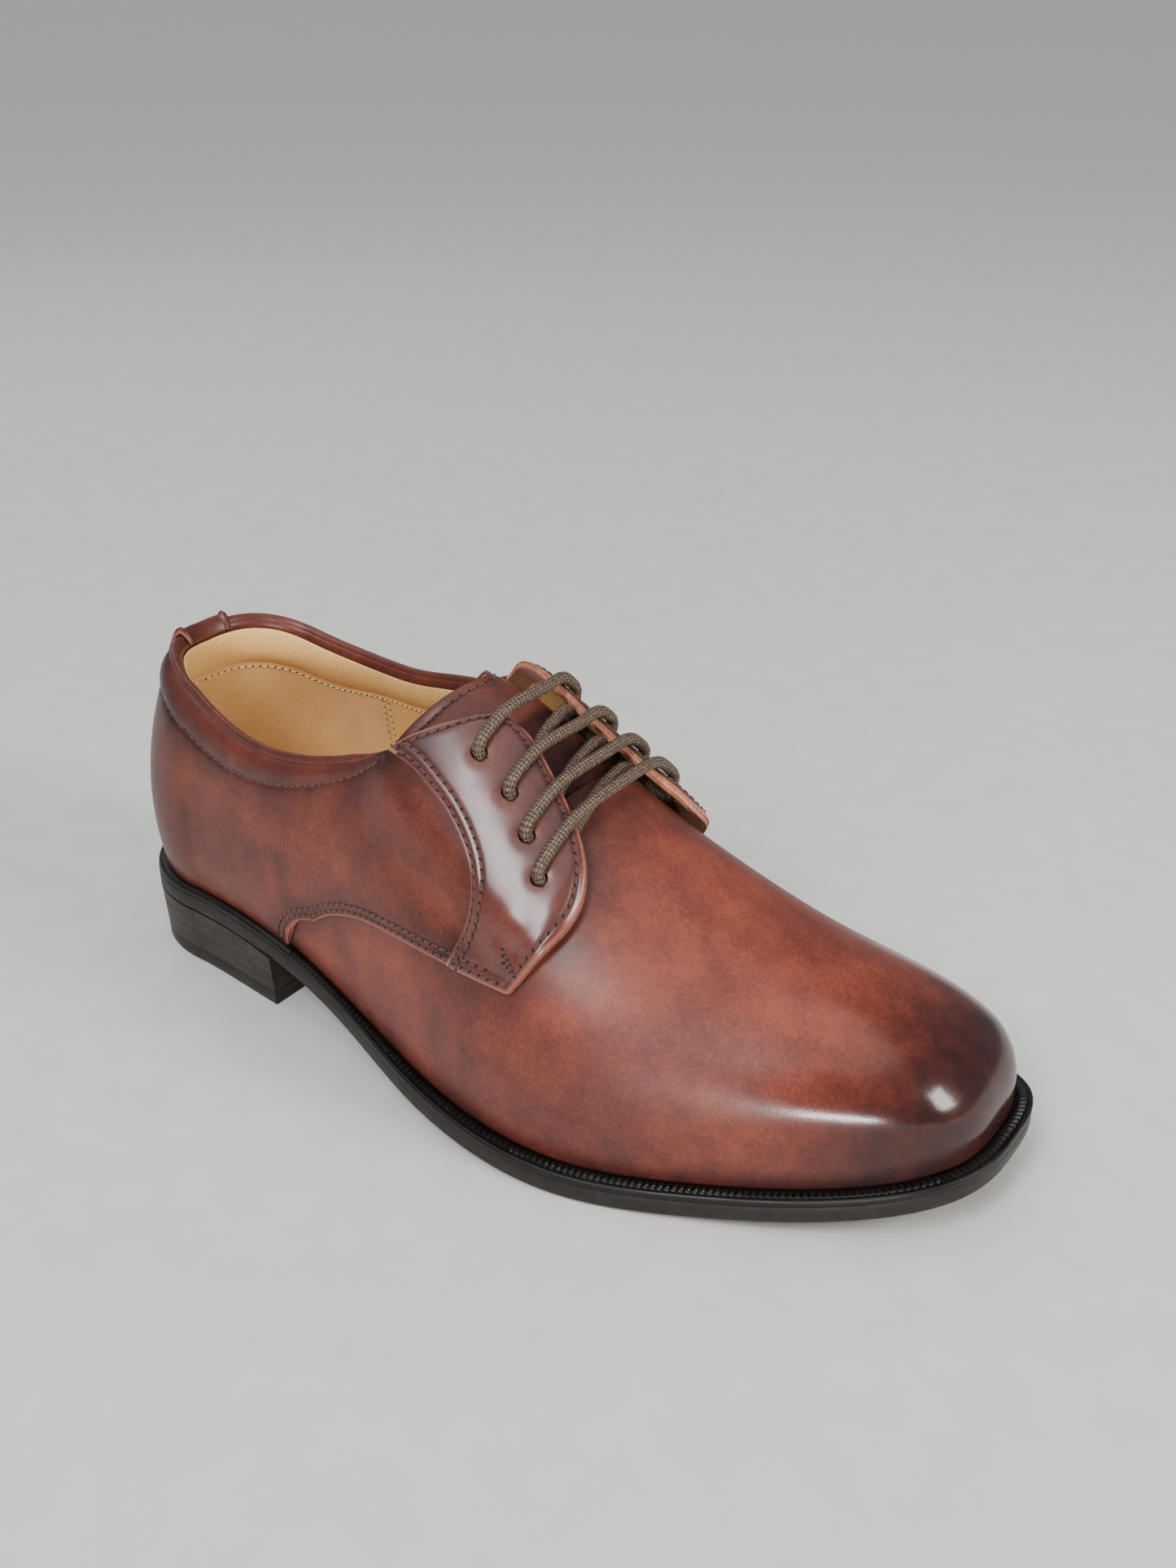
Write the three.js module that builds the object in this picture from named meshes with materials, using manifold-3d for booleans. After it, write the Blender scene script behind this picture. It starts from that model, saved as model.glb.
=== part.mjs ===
// A plain-toe lace-up leather shoe for the right foot, size EU 42, as one assembly of separate pieces.
//
// Millimetres. +X runs from heel to toe, +Y to the inner (medial) side of the foot, +Z up.
// The upper is laid over one shoe-shaped surface, the last. A place on the last is a station s, a profile
// value t and a side. The station is the distance from the heel to the toe, and inside the first HEEL_S
// millimetres it turns round the back of the heel. The profile runs from 0 at the edge of the sole to 1
// at the ridge of the instep. Each layer of the upper is a patch of the last, let out or taken in.
import * as THREE from "three";
import { mergeVertices } from "three/addons/utils/BufferGeometryUtils.js";
import Module from "manifold-3d";

const wasm = await Module();
wasm.setup();

// ---- Driving dimensions -----------------------------------------------------------------------------
const GAP = 0.3; // between pieces that touch
const TOE_X = 295; // foremost point of the last
const TOE_START = 238; // where the toe begins to close
const TOE_POWER = 3; // 2 would close the toe as an ellipse, more is squarer
const HEEL_S = 38; // length of the stretch that turns round the heel
const HEEL_BACK_X = 5; // rearmost point of the last at the sole
const HEEL_POWER = 2 / 2.15;
const WIDEST_T = 0.25; // profile value where a section is widest
const T_MM = 130; // one whole profile is about this long, so curves can be spaced evenly

// Sections of the last: station, middle line, half width at the sole, swell to the outside and the inside,
// height of the widest place above the sole, ridge height, ridge shift to the inside, roundness.
const SECTIONS = [
  [0, -2.5, 30, 1.5, 1.5, 16, 127, 0, 2],
  [38, 0.5, 33.4, 1.5, 1.5, 17, 126.5, 0, 2],
  [70, -1.5, 35, 1.5, 2, 18, 125, 0.5, 2],
  [100, -7, 33.2, 1, 4, 20, 126, 6, 2],
  [125, -11.5, 34.4, 1, 6, 20, 121, 12, 2],
  [150, -13, 39.7, 1, 5, 18, 109, 15, 2],
  [180, -11, 46, 1.5, 3, 16, 88.5, 13, 2.05],
  [205, -6.6, 47.8, 1.5, 1.5, 14, 74.5, 8, 2.1],
  [230, -1, 44.6, 1, 1, 13, 63, 4, 2.15],
  [255, 4.4, 39.8, 0.5, 0.5, 13, 56, 1, 2.2],
  [280, 8.6, 35.3, 0, 0, 12, 52.5, -1, 2.3],
  [302, 11, 32, 0, 0, 12, 50, -2, 2.3],
];
// Underside of the sole: raised on the heel, flat under the ball of the foot, sprung up at the toe.
const TREAD = [
  [0, 21.2],
  [38, 20.2],
  [72, 18.7],
  [105, 10.1],
  [135, 4.3],
  [165, 1.4],
  [195, 0.1],
  [225, 1],
  [255, 4.2],
  [280, 9],
  [304, 15],
];
// Back of the heel: height and the place of the last's surface there.
const BACK_CURVE = [
  [22, 8],
  [30, 5.6],
  [42, 3.4],
  [55, 2.8],
  [70, 4.6],
  [85, 8.4],
  [100, 13.2],
  [115, 18.7],
];

// The sole's layers, as heights above its underside.
const SOLE_TOP = 5.2;
const WELT_LOW = SOLE_TOP + GAP;
const WELT_TOP = WELT_LOW + 2.3;
const FEATHER = WELT_TOP + GAP; // the upper stands on the welt
const BOARD_TOP = FEATHER + 2.4;
const SOCK_LOW = BOARD_TOP + GAP;
const SOCK_TOP = SOCK_LOW + 1.5;
const SOLE_REACH = 5; // the sole stands this far outside the last
const WAIST_REACH = 3.2; // and this far at its waist
const HEEL_REACH = 4.2; // and this far round the heel, flush with the heel block
const HEEL_FOOT_REACH = 3.2; // the heel block narrows a little towards the ground
const BREAST_X = 74.5; // front face of the heel
const LIFT_HEIGHT = 5;
const WELT_WAIST_X = 84; // the ribbed welt starts here, the smooth heel rand ends
const WELT_INSIDE = -7;

// The upper's layers, as distances from the last.
const VAMP = [-1.2, 0];
const QUARTER = [0.6, 1.8];
const EYESTAY = [2.3, 3.3];
const STIFFENER = [-1.9, 0];
const TOE_PUFF = [-2.4, -1.7];
const LINING = [-4, -3];
const FACING_LINING = [-0.7, 0.1];
const COLLAR_FOAM = [-2.5, 0.1];
const BINDING = [-4, 1.8];
const TONGUE = [-3.2, -2.1];
const TONGUE_LINING = [-4.7, -3.6];
const FLAP_RISE = 4.3; // the lacing flaps ride this far up over the tongue and the lace
const FOOT_INSIDE = -5.6; // the insole ends this far inside the last

// Edges of the upper's pieces, as stations and profile values.
const BACK_SEAM = 0.1;
const TOPLINE = {
  lateral: [[0.1, 0.605], [14, 0.61], [27, 0.598], [38, 0.562], [52, 0.527], [68, 0.51], [82, 0.517],
    [96, 0.542], [110, 0.588], [124, 0.652]],
  medial: [[0.1, 0.605], [14, 0.61], [27, 0.595], [38, 0.57], [52, 0.553], [68, 0.549], [84, 0.561],
    [100, 0.597], [112, 0.632], [124, 0.675]],
};
const FACING_TIP = [149, 0.874];
const FACING_SHOULDER = { lateral: [136.5, 0.757], medial: [134.5, 0.785] };
const FACING_FRONT = [[179.5, 0.469], [184.6, 0.55], [188, 0.61], [190, 0.67], [189.8, 0.72], [187, 0.775],
  [182.5, 0.811], [175.3, 0.842], [166.6, 0.866], [157, 0.884], FACING_TIP];
const SWING = [[81, 0], [82.5, 0.08], [89, 0.19], [101, 0.274], [116, 0.328], [134, 0.369], [150, 0.403],
  [164, 0.434], [179.5, 0.469]];
const EYESTAY_BACK = [[158, 0.422], [161, 0.48], [163, 0.54], [162.6, 0.585], [160, 0.612], [155, 0.634],
  [148, 0.65], [141, 0.656], [134, 0.66], [124, 0.652]];
const HEEL_SEAM_S = 66; // where the heel lining meets the quarter lining
const VAMP_BACK = [[74, 0], [86, 0.22], [110, 0.31], [140, 0.4], [156, 0.5], [166, 0.7], [172, 1]];
const EYELETS = [[150, 0.774], [161.8, 0.767], [170.9, 0.736], [178.8, 0.695]];
const EYELET_RADIUS = 2.2;
const LACE_RADIUS = 1.25;
const SIDES = { lateral: -1, medial: 1 };

// ---- Curves -----------------------------------------------------------------------------------------
const clamp = (v, low, high) => Math.min(high, Math.max(low, v));
const mix = (a, b, f) => a + (b - a) * f;
const steps = (n) => Array.from({ length: n + 1 }, (_, i) => i / n);

function smooth(v, low, high) {
  const f = clamp((v - low) / (high - low), 0, 1);
  return f * f * (3 - 2 * f);
}

// A natural cubic spline through [x, y] pairs, as a function of x.
function spline(pairs) {
  const n = pairs.length;
  const x = pairs.map((p) => p[0]);
  const y = pairs.map((p) => p[1]);
  const bend = new Array(n).fill(0);
  const carry = new Array(n).fill(0);
  for (let i = 1; i < n - 1; i++) {
    const share = (x[i] - x[i - 1]) / (x[i + 1] - x[i - 1]);
    const p = share * bend[i - 1] + 2;
    bend[i] = (share - 1) / p;
    const jump = (y[i + 1] - y[i]) / (x[i + 1] - x[i]) - (y[i] - y[i - 1]) / (x[i] - x[i - 1]);
    carry[i] = ((6 * jump) / (x[i + 1] - x[i - 1]) - share * carry[i - 1]) / p;
  }
  for (let i = n - 2; i >= 0; i--) bend[i] = bend[i] * bend[i + 1] + carry[i];
  return (at) => {
    let i = 1;
    while (i < n - 1 && at > x[i]) i++;
    const h = x[i] - x[i - 1];
    const a = (x[i] - at) / h;
    const b = (at - x[i - 1]) / h;
    const curve = (a ** 3 - a) * bend[i - 1] + (b ** 3 - b) * bend[i];
    return a * y[i - 1] + b * y[i] + (curve * h * h) / 6;
  };
}

// A smooth curve through [s, t] pairs, as a function of the share of its length.
function edge(pairs) {
  const points = pairs.map(([s, t]) => new THREE.Vector3(s, t * T_MM, 0));
  const curve = new THREE.CatmullRomCurve3(points, false, "centripetal");
  return (share) => {
    const p = curve.getPointAt(clamp(share, 0, 1));
    return [p.x, p.y / T_MM];
  };
}

// Two curves end to end, the first taking the given share.
const chain = (first, second, share) => (u) =>
  u < share ? first(u / share) : second((u - share) / (1 - share));

// ---- The last ---------------------------------------------------------------------------------------
const column = (k) => spline(SECTIONS.map((row) => [row[0], row[k]]));
const [middleY, halfWidth, swellOut, swellIn, widestHeight, ridgeZ, ridgeShift, roundness] = [
  1, 2, 3, 4, 5, 6, 7, 8,
].map(column);
const treadZ = spline(TREAD);
const backX = spline(BACK_CURVE);

// How far the section at a station has closed towards the toe: 1 open, 0 at the tip.
function openness(s) {
  const f = clamp((s - TOE_START) / (TOE_X - TOE_START), 0, 1);
  return (1 - f ** TOE_POWER) ** (1 / TOE_POWER);
}

// Past the start of the toe a station moves forward as the surface is let out.
const reachX = (s, out) => s + (out * Math.max(0, s - TOE_START)) / (TOE_X - TOE_START);

// One section of the last: distance from the middle line and height.
function profile(x, s, t, side, out) {
  const open = openness(s);
  const foot = treadZ(x) + FEATHER;
  const half = halfWidth(x) + out;
  const widest = half + (side < 0 ? swellOut(x) : swellIn(x));
  const top = foot + (ridgeZ(x) + out - foot) * open;
  const waist = foot + Math.min(widestHeight(x) * Math.min(1, (top - foot) / 26), 0.45 * (top - foot));
  if (t < WIDEST_T) {
    const f = t / WIDEST_T;
    return [side * open * (half + (widest - half) * (1 - (1 - f) ** 2)), mix(foot, waist, f)];
  }
  const angle = (((t - WIDEST_T) / (1 - WIDEST_T)) * Math.PI) / 2;
  const across = Math.max(0, Math.cos(angle)) ** (2 / roundness(x));
  const up = Math.sin(angle) ** (2 / roundness(x));
  return [open * (side * widest * across + ridgeShift(x) * (1 - across)), mix(waist, top, up)];
}

// A point of the last's surface, let out by the given distance.
function onLast(s, t, side, out) {
  if (s >= HEEL_S) {
    const x = reachX(s, out);
    const [y, z] = profile(x, s, t, side, out);
    return new THREE.Vector3(x, middleY(x) + y, z);
  }
  const [y, z] = profile(HEEL_S, HEEL_S, t, side, out);
  const angle = ((s / HEEL_S) * Math.PI) / 2;
  const x = HEEL_S - (HEEL_S - backX(z) + out) * Math.cos(angle) ** HEEL_POWER;
  const rise = (treadZ(x) - treadZ(HEEL_S)) * (1 - t);
  return new THREE.Vector3(x, middleY(clamp(x, 0, HEEL_S)) + y * Math.sin(angle) ** HEEL_POWER, z + rise);
}

// The last's outline at the sole, let out by the given distance.
function outline(s, side, out) {
  if (s >= HEEL_S) {
    const x = reachX(s, out);
    return [x, middleY(x) + side * (halfWidth(x) + out) * openness(s)];
  }
  const angle = ((s / HEEL_S) * Math.PI) / 2;
  const x = HEEL_S - (HEEL_S - HEEL_BACK_X + out) * Math.cos(angle) ** HEEL_POWER;
  const half = (halfWidth(HEEL_S) + out) * Math.sin(angle) ** HEEL_POWER;
  return [x, middleY(clamp(x, 0, HEEL_S)) + side * half];
}

// How far a place on a lacing flap rides up over the tongue.
function flapRise(s, t) {
  const front = 1 - 0.35 * smooth(s, 184, 192);
  return FLAP_RISE * smooth(s, 110, 130) * smooth(t, 0.48, 0.62) * front;
}

// ---- Solids -----------------------------------------------------------------------------------------
// A closed solid skinned over equal rings of points, with flat ends. Each ring runs out along one face
// and back along the other, so its ends are closed by pairing the ring's first and last points.
function loft(rings) {
  const size = rings[0].length;
  const positions = rings.flat().flatMap((p) => [p.x, p.y, p.z]);
  const faces = [];
  const quad = (a, b, c, d) => faces.push(a, b, c, a, c, d);
  for (let r = 0; r < rings.length - 1; r++) {
    for (let k = 0; k < size; k++) {
      const next = (k + 1) % size;
      quad(r * size + k, r * size + next, (r + 1) * size + next, (r + 1) * size + k);
    }
  }
  const end = (rings.length - 1) * size;
  for (let k = 0; k < size / 2 - 1; k++) {
    const far = size - 1 - k;
    quad(k, far, far - 1, k + 1);
    quad(end + k, end + k + 1, end + far - 1, end + far);
  }
  return outward(positions, faces);
}

// Geometry with its faces turned outward.
function outward(positions, faces) {
  const at = (i) => new THREE.Vector3().fromArray(positions, 3 * i);
  let volume = 0;
  for (let i = 0; i < faces.length; i += 3) {
    volume += at(faces[i]).dot(at(faces[i + 1]).cross(at(faces[i + 2])));
  }
  if (volume < 0) faces.reverse();
  const geometry = new THREE.BufferGeometry();
  geometry.setAttribute("position", new THREE.Float32BufferAttribute(positions, 3));
  geometry.setIndex(faces);
  return geometry;
}

// A patch of the last as a leather layer. place(u, v) gives a station, a profile value and a side.
function layer(place, uList, vList, [inner, outer], rise = () => 0) {
  const point = (u, v, out) => {
    const [s, t, side] = place(u, v);
    return onLast(s, t, side, out + rise(s, t));
  };
  const rings = uList.map((u) => [
    ...vList.map((v) => point(u, v, outer)),
    ...vList.toReversed().map((v) => point(u, v, inner)),
  ]);
  return loft(rings);
}

// The patch between four edges, blended so that each edge is met exactly.
function between(bottom, top, back, front, side) {
  const corners = [bottom(0), bottom(1), top(0), top(1)];
  return (u, v) => {
    const place = [0, 1].map((k) => {
      const ruled = mix(bottom(u)[k], top(u)[k], v) + mix(back(v)[k], front(v)[k], u);
      const low = mix(corners[0][k], corners[1][k], u);
      return ruled - mix(low, mix(corners[2][k], corners[3][k], u), v);
    });
    return [...place, side];
  };
}

// A flat-sided plate that follows the sole: stations, how far it reaches and its two heights.
function plate(stations, reach, low, high) {
  const rings = stations.map((s) => {
    const corner = (side, height) => {
      const [x, y] = outline(s, side, reach(s));
      return new THREE.Vector3(x, y, height(x));
    };
    return [corner(-1, high), corner(1, high), corner(1, low), corner(-1, low)];
  });
  return loft(rings);
}

// Heights measured from the underside of the sole.
const above = (height) => (x) => treadZ(x) + height;
const steady = (value) => () => value;

// How far the sole stands outside the last: less at the waist.
function soleReach(s) {
  const back = mix(HEEL_REACH, WAIST_REACH, smooth(s, 60, 94));
  return mix(back, SOLE_REACH, smooth(s, 98, 148));
}

// Stations from one place to another, and stations that close the toe in ever shorter steps.
const stretch = (from, to, n) => steps(n).map((f) => mix(from, to, f));
const TOE_END = 0.998; // leaves a pinhole at the very tip, where all profiles meet
const toeStations = (n) =>
  steps(n).map((f) => TOE_START + (TOE_X - TOE_START) * (1 - (1 - f * TOE_END) ** 3));
const heelStations = (n) => stretch(BACK_SEAM, HEEL_S, n);

// ---- Booleans ---------------------------------------------------------------------------------------
function toSolid(geometry) {
  const bare = geometry.clone();
  bare.deleteAttribute("normal");
  bare.deleteAttribute("uv");
  const merged = mergeVertices(bare, 1e-4);
  return new wasm.Manifold(
    new wasm.Mesh({
      numProp: 3,
      vertProperties: new Float32Array(merged.attributes.position.array),
      triVerts: new Uint32Array(merged.index.array),
    }),
  );
}

function cutOut(geometry, cutters) {
  let solid = toSolid(geometry);
  for (const cutter of cutters) solid = solid.subtract(toSolid(cutter));
  const mesh = solid.getMesh();
  const made = new THREE.BufferGeometry();
  made.setAttribute("position", new THREE.BufferAttribute(mesh.vertProperties, 3));
  made.setIndex(new THREE.BufferAttribute(mesh.triVerts, 1));
  return made;
}

// A round bar between two points.
function bar(from, to, radius, sides = 12) {
  const along = new THREE.Vector3().subVectors(to, from);
  const geometry = new THREE.CylinderGeometry(radius, radius, along.length(), sides);
  const turn = new THREE.Quaternion().setFromUnitVectors(
    new THREE.Vector3(0, 1, 0),
    along.clone().normalize(),
  );
  geometry.applyQuaternion(turn);
  const centre = from.clone().lerp(to, 0.5);
  return geometry.translate(centre.x, centre.y, centre.z);
}

// ---- Materials --------------------------------------------------------------------------------------
const finish = (color, roughness, metalness = 0) =>
  new THREE.MeshStandardMaterial({ color, roughness, metalness });
const BURGUNDY = finish(0x6b2f23, 0.35);
const GLOSSY = finish(0x74392d, 0.2);
const TAN = finish(0xc08a52, 0.8);
const BLACK_RUBBER = finish(0x1d1714, 0.5);
const BOARD = finish(0xb39a78, 0.9);
const FOAM = finish(0xd8cfae, 0.95);
const CORK = finish(0xa8753f, 0.95);
const STEEL = finish(0x9a9da1, 0.35, 1);
const CORD = finish(0x4f3f31, 0.6);

// The pieces are laid out from the back of the heel, and moved together so that the origin is on the ground
// at the middle of the footprint.
const FOOTPRINT_MIDDLE = new THREE.Vector3(150.4, -6.5, 0);
const shoe = new THREE.Group();
const pieces = new THREE.Group();
pieces.position.copy(FOOTPRINT_MIDDLE).negate();
shoe.add(pieces);

function add(name, geometry, material) {
  const mesh = new THREE.Mesh(geometry, material);
  mesh.name = name;
  pieces.add(mesh);
}

// ---- Sole and heel ----------------------------------------------------------------------------------
const soleStations = [...heelStations(8), ...stretch(48, TOE_START, 19), ...toeStations(9).slice(1)];
const toBreast = [...heelStations(8), ...stretch(46, BREAST_X, 3)];

function heelNails() {
  const places = [[14, -2], [28, -16], [28, 15], [54, -20], [54, 18]];
  return places.map(([x, y]) => ({
    bottom: new THREE.Vector3(x, y, LIFT_HEIGHT + 5),
    top: new THREE.Vector3(x, y, treadZ(x) + SOLE_TOP - 1),
  }));
}

function addBottom() {
  const NAIL_RADIUS = 1;
  const nails = heelNails();
  const nailHoles = nails.map(({ bottom, top }) => {
    const low = bottom.clone().setZ(bottom.z - 1);
    return bar(low, top.clone().setZ(top.z + 3), NAIL_RADIUS + GAP);
  });
  const block = plate(toBreast, steady(HEEL_REACH), steady(LIFT_HEIGHT + GAP), above(-GAP));
  const lift = plate(toBreast, steady(HEEL_FOOT_REACH), steady(0), steady(LIFT_HEIGHT));
  const outsole = plate(soleStations, soleReach, above(0), above(SOLE_TOP));
  add("top_lift", lift, BLACK_RUBBER);
  add("heel_block", cutOut(block, nailHoles), BLACK_RUBBER);
  add("outsole", cutOut(outsole, nailHoles), BLACK_RUBBER);
  nails.forEach(({ bottom, top }, i) => add(`heel_nail_${i + 1}`, bar(bottom, top, NAIL_RADIUS), STEEL));
}

// A strip that follows the sole's edge, in stations signed by their side.
function strip(places, inside, outside, low, high) {
  const rings = places.map(([s, side]) => {
    const corner = (reach, height) => {
      const [x, y] = outline(s, side, reach);
      return new THREE.Vector3(x, y, height(x));
    };
    const reach = outside(s);
    return [corner(reach, low), corner(reach, high), corner(inside, high), corner(inside, low)];
  });
  return loft(rings);
}

// Stations round the toe, or round the heel, from the outer side to the inner side.
function roundTrip(stations) {
  const there = stations.map((s) => [s, -1]);
  return [...there, ...stations.toReversed().map((s) => [s, 1])];
}

function addWelt() {
  const roundToe = [...stretch(WELT_WAIST_X, TOE_START, 14), ...toeStations(9).slice(1)];
  const roundHeel = [...stretch(WELT_WAIST_X - GAP, 46, 4), ...heelStations(8).toReversed()];
  const low = above(WELT_LOW);
  const high = above(WELT_TOP);
  const randReach = (s) => soleReach(s) - GAP;
  add("welt", strip(roundTrip(roundToe), WELT_INSIDE, soleReach, low, high), BLACK_RUBBER);
  add("heel_rand", strip(roundTrip(roundHeel), WELT_INSIDE, randReach, low, high), BLACK_RUBBER);
}

function addInsole() {
  const FILLER_REACH = WELT_INSIDE - GAP;
  const fillerStations = [...stretch(146, TOE_START, 7), ...toeStations(7).slice(1)];
  const filler = plate(fillerStations, steady(FILLER_REACH), above(WELT_LOW), above(WELT_TOP));
  add("cork_filler", filler, CORK);
  const board = plate(soleStations, steady(FOOT_INSIDE), above(FEATHER), above(BOARD_TOP));
  add("insole_board", board, BOARD);
  const sock = plate(soleStations, steady(FOOT_INSIDE - GAP), above(SOCK_LOW), above(SOCK_TOP));
  add("sock_lining", sock, TAN);
  addShank();
  addHeelPad();
}

// The steel spring under the arch, narrow at its ends.
function addShank() {
  const SHANK_HALF = 7;
  const rings = stretch(50, 140, 12).map((x) => {
    const half = SHANK_HALF * (0.55 + 0.45 * Math.sin((Math.PI * (x - 50)) / 90));
    const corner = (side, height) =>
      new THREE.Vector3(x, middleY(x) + side * half, treadZ(x) + height);
    return [corner(-1, WELT_TOP), corner(1, WELT_TOP), corner(1, WELT_LOW), corner(-1, WELT_LOW)];
  });
  add("shank", loft(rings), STEEL);
}

// A thin cushion under the heel, with a rounded front.
function addHeelPad() {
  const FRONT_X = 74;
  const ROUND_X = 52;
  const stations = [...heelStations(6), ...stretch(45, ROUND_X, 1)];
  const rounding = steps(6).slice(1, 6).map((f) => mix(ROUND_X, FRONT_X, 1 - (1 - f) ** 2));
  const half = (s) => Math.sqrt(1 - clamp((s - ROUND_X) / (FRONT_X - ROUND_X), 0, 1) ** 2);
  const reach = (s) => FOOT_INSIDE - 2 - (1 - half(s)) * (halfWidth(s) + FOOT_INSIDE - 2);
  const low = above(SOCK_TOP + GAP);
  add("heel_pad", plate([...stations, ...rounding], reach, low, above(SOCK_TOP + GAP + 4)), FOAM);
}

// ---- Vamp -------------------------------------------------------------------------------------------
const ridgeSteps = (n) => steps(n).map((f) => 2 * f - 1); // outer side, ridge, inner side
const acrossRidge = (p) => [1 - Math.abs(p), p < 0 ? -1 : 1];

// The vamp's back edge as a function of the profile value.
const vampBack = spline(VAMP_BACK.map(([s, t]) => [t, s]));

// Places from the back edge to the tip of the toe, one row for each profile value.
function foreParts(backEdge, joints, toe) {
  const toeList = toeStations(toe).slice(1);
  return {
    columns: steps(joints + toe),
    place: (u, v) => {
      const [t, side] = acrossRidge(u);
      const k = Math.round(v * (joints + toe));
      const back = backEdge(t);
      return [k <= joints ? mix(back, TOE_START, k / joints) : toeList[k - joints - 1], t, side];
    },
  };
}

function addVamp() {
  const rows = ridgeSteps(24);
  const shell = foreParts(vampBack, 8, 8);
  add("vamp", layer(shell.place, rows, shell.columns, VAMP), BURGUNDY);
  const liningBack = (t) => mix(mix(100, 150, clamp(t / 0.55, 0, 1)), 192, smooth(t, 0.5, 0.62));
  const lining = foreParts(liningBack, 4, 8);
  add("vamp_lining", layer(lining.place, rows, lining.columns, LINING), TAN);
  add("toe_puff", layer(puffPlace, rows, steps(5), TOE_PUFF), BOARD);
}

// The stiff toe piece starts well inside the toe, so its stations all lie past TOE_START.
const PUFF_BACK = 0.42; // share of the toe that is left uncovered
function puffPlace(u, v) {
  const [t, side] = acrossRidge(u);
  const f = mix(PUFF_BACK, 1, 1 - (1 - v * TOE_END) ** 3);
  return [mix(TOE_START, TOE_X, f), t, side];
}

// ---- Quarters and facings ---------------------------------------------------------------------------
function eyeletCutters(side, inner, outer) {
  return EYELETS.map(([s, t]) => {
    const rise = flapRise(s, t);
    const from = onLast(s, t, side, inner + rise - 2);
    return bar(from, onLast(s, t, side, outer + rise + 2), EYELET_RADIUS);
  });
}

// The free edge of a facing above its topline.
const facingTop = (name) => edge([TOPLINE[name].at(-1), FACING_SHOULDER[name], FACING_TIP]);

function addQuarter(name) {
  const side = SIDES[name];
  const topline = TOPLINE[name];
  const straight = (u) => [mix(BACK_SEAM, SWING[0][0], u), 0];
  const bottom = chain(straight, edge(SWING), 0.45);
  const top = chain(edge(topline), facingTop(name), 0.8);
  const back = (v) => [BACK_SEAM, topline[0][1] * v];
  const place = between(bottom, top, back, edge(FACING_FRONT), side);
  const leather = layer(place, steps(30), steps(11), QUARTER, flapRise);
  add(`quarter_${name}`, cutOut(leather, eyeletCutters(side, ...QUARTER)), BURGUNDY);
}

function addEyestay(name) {
  const side = SIDES[name];
  const bottom = (u) => [0, 1].map((k) => mix(EYESTAY_BACK[0][k], FACING_FRONT[0][k], u));
  const backEdge = [...EYESTAY_BACK.slice(0, -1), TOPLINE[name].at(-1)];
  const place = between(bottom, facingTop(name), edge(backEdge), edge(FACING_FRONT), side);
  const leather = layer(place, steps(8), steps(12), EYESTAY, flapRise);
  add(`eyestay_${name}`, cutOut(leather, eyeletCutters(side, ...EYESTAY)), GLOSSY);
}

function addFacingLining(name) {
  const side = SIDES[name];
  const low = edge([[136, 0.66], [150, 0.655], [170, 0.655], [187, 0.66]]);
  const high = edge([[132, 0.692], [138, 0.752], [144, 0.817], [150, 0.862], [157, 0.876], [166.6, 0.858],
    [175.3, 0.833], [182, 0.804], [187.3, 0.758]]);
  const place = (u, v) => [0, 1].map((k) => mix(low(u)[k], high(u)[k], v)).concat(side);
  const leather = layer(place, steps(10), steps(3), FACING_LINING, flapRise);
  add(`facing_lining_${name}`, cutOut(leather, eyeletCutters(side, ...FACING_LINING)), TAN);
}

// ---- Heel, collar and linings -----------------------------------------------------------------------
// The topline's profile value at a station.
const toplineT = { "-1": spline(TOPLINE.lateral), 1: spline(TOPLINE.medial) };

// A band round the heel from the outer side to the inner side, between two profile values.
function heelBand(stations, low, high, rows, depth, rise) {
  const places = roundTrip(stations);
  const place = (k, v) => {
    const [s, side] = places[k];
    return [s, mix(low(s, side), high(s, side), v), side];
  };
  return layer(place, places.map((_, k) => k), steps(rows), depth, rise);
}

function addHeelParts() {
  const under = (mm) => (s, side) => toplineT[side](s) - mm / T_MM;
  const ground = steady(0);
  const around = (from, n) => [...stretch(from, HEEL_S + 5, n), ...heelStations(6).toReversed()];
  add("heel_counter", heelBand(around(70, 3), ground, under(17), 5, STIFFENER), BOARD);
  const foamLow = under(14);
  add("collar_foam", heelBand(around(116, 7), foamLow, under(1.5), 2, COLLAR_FOAM), FOAM);
  add("heel_lining", heelBand(around(HEEL_SEAM_S, 5), ground, under(0.5), 6, LINING), TAN);
  const past = (mm) => (s, side) => toplineT[side](s) + mm / T_MM;
  const binding = heelBand(around(117, 8), past(0.5), past(2.6), 1, BINDING, flapRise);
  add("topline_binding", binding, BURGUNDY);
}

function addQuarterLining(name) {
  const side = SIDES[name];
  const topT = (s) => Math.min(toplineT[side](s) - 0.5 / T_MM, 0.54);
  const place = (u, v) => {
    const s = mix(HEEL_SEAM_S + 0.4, 148.5, u);
    return [s - 49 * u * (1 - v), v * topT(s), side];
  };
  add(`quarter_lining_${name}`, layer(place, steps(6), steps(7), LINING), TAN);
}

// ---- Tongue -----------------------------------------------------------------------------------------
// The tongue is sewn under the vamp at its front end and narrows towards it. Its free end is cut round, so
// its side corners lie further back than its middle, and it hangs a little below the lacing flaps.
const TONGUE_FREE_S = 131;
const TONGUE_CORNER_S = 118.5;
const TONGUE_SEWN_S = 186;
const TONGUE_WIDE = { "-1": 0.35, 1: 0.28 }; // half widths at the free end, as shares of the profile
const TONGUE_NARROW = 0.2;
const TONGUE_SINK = 2.6;

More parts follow.
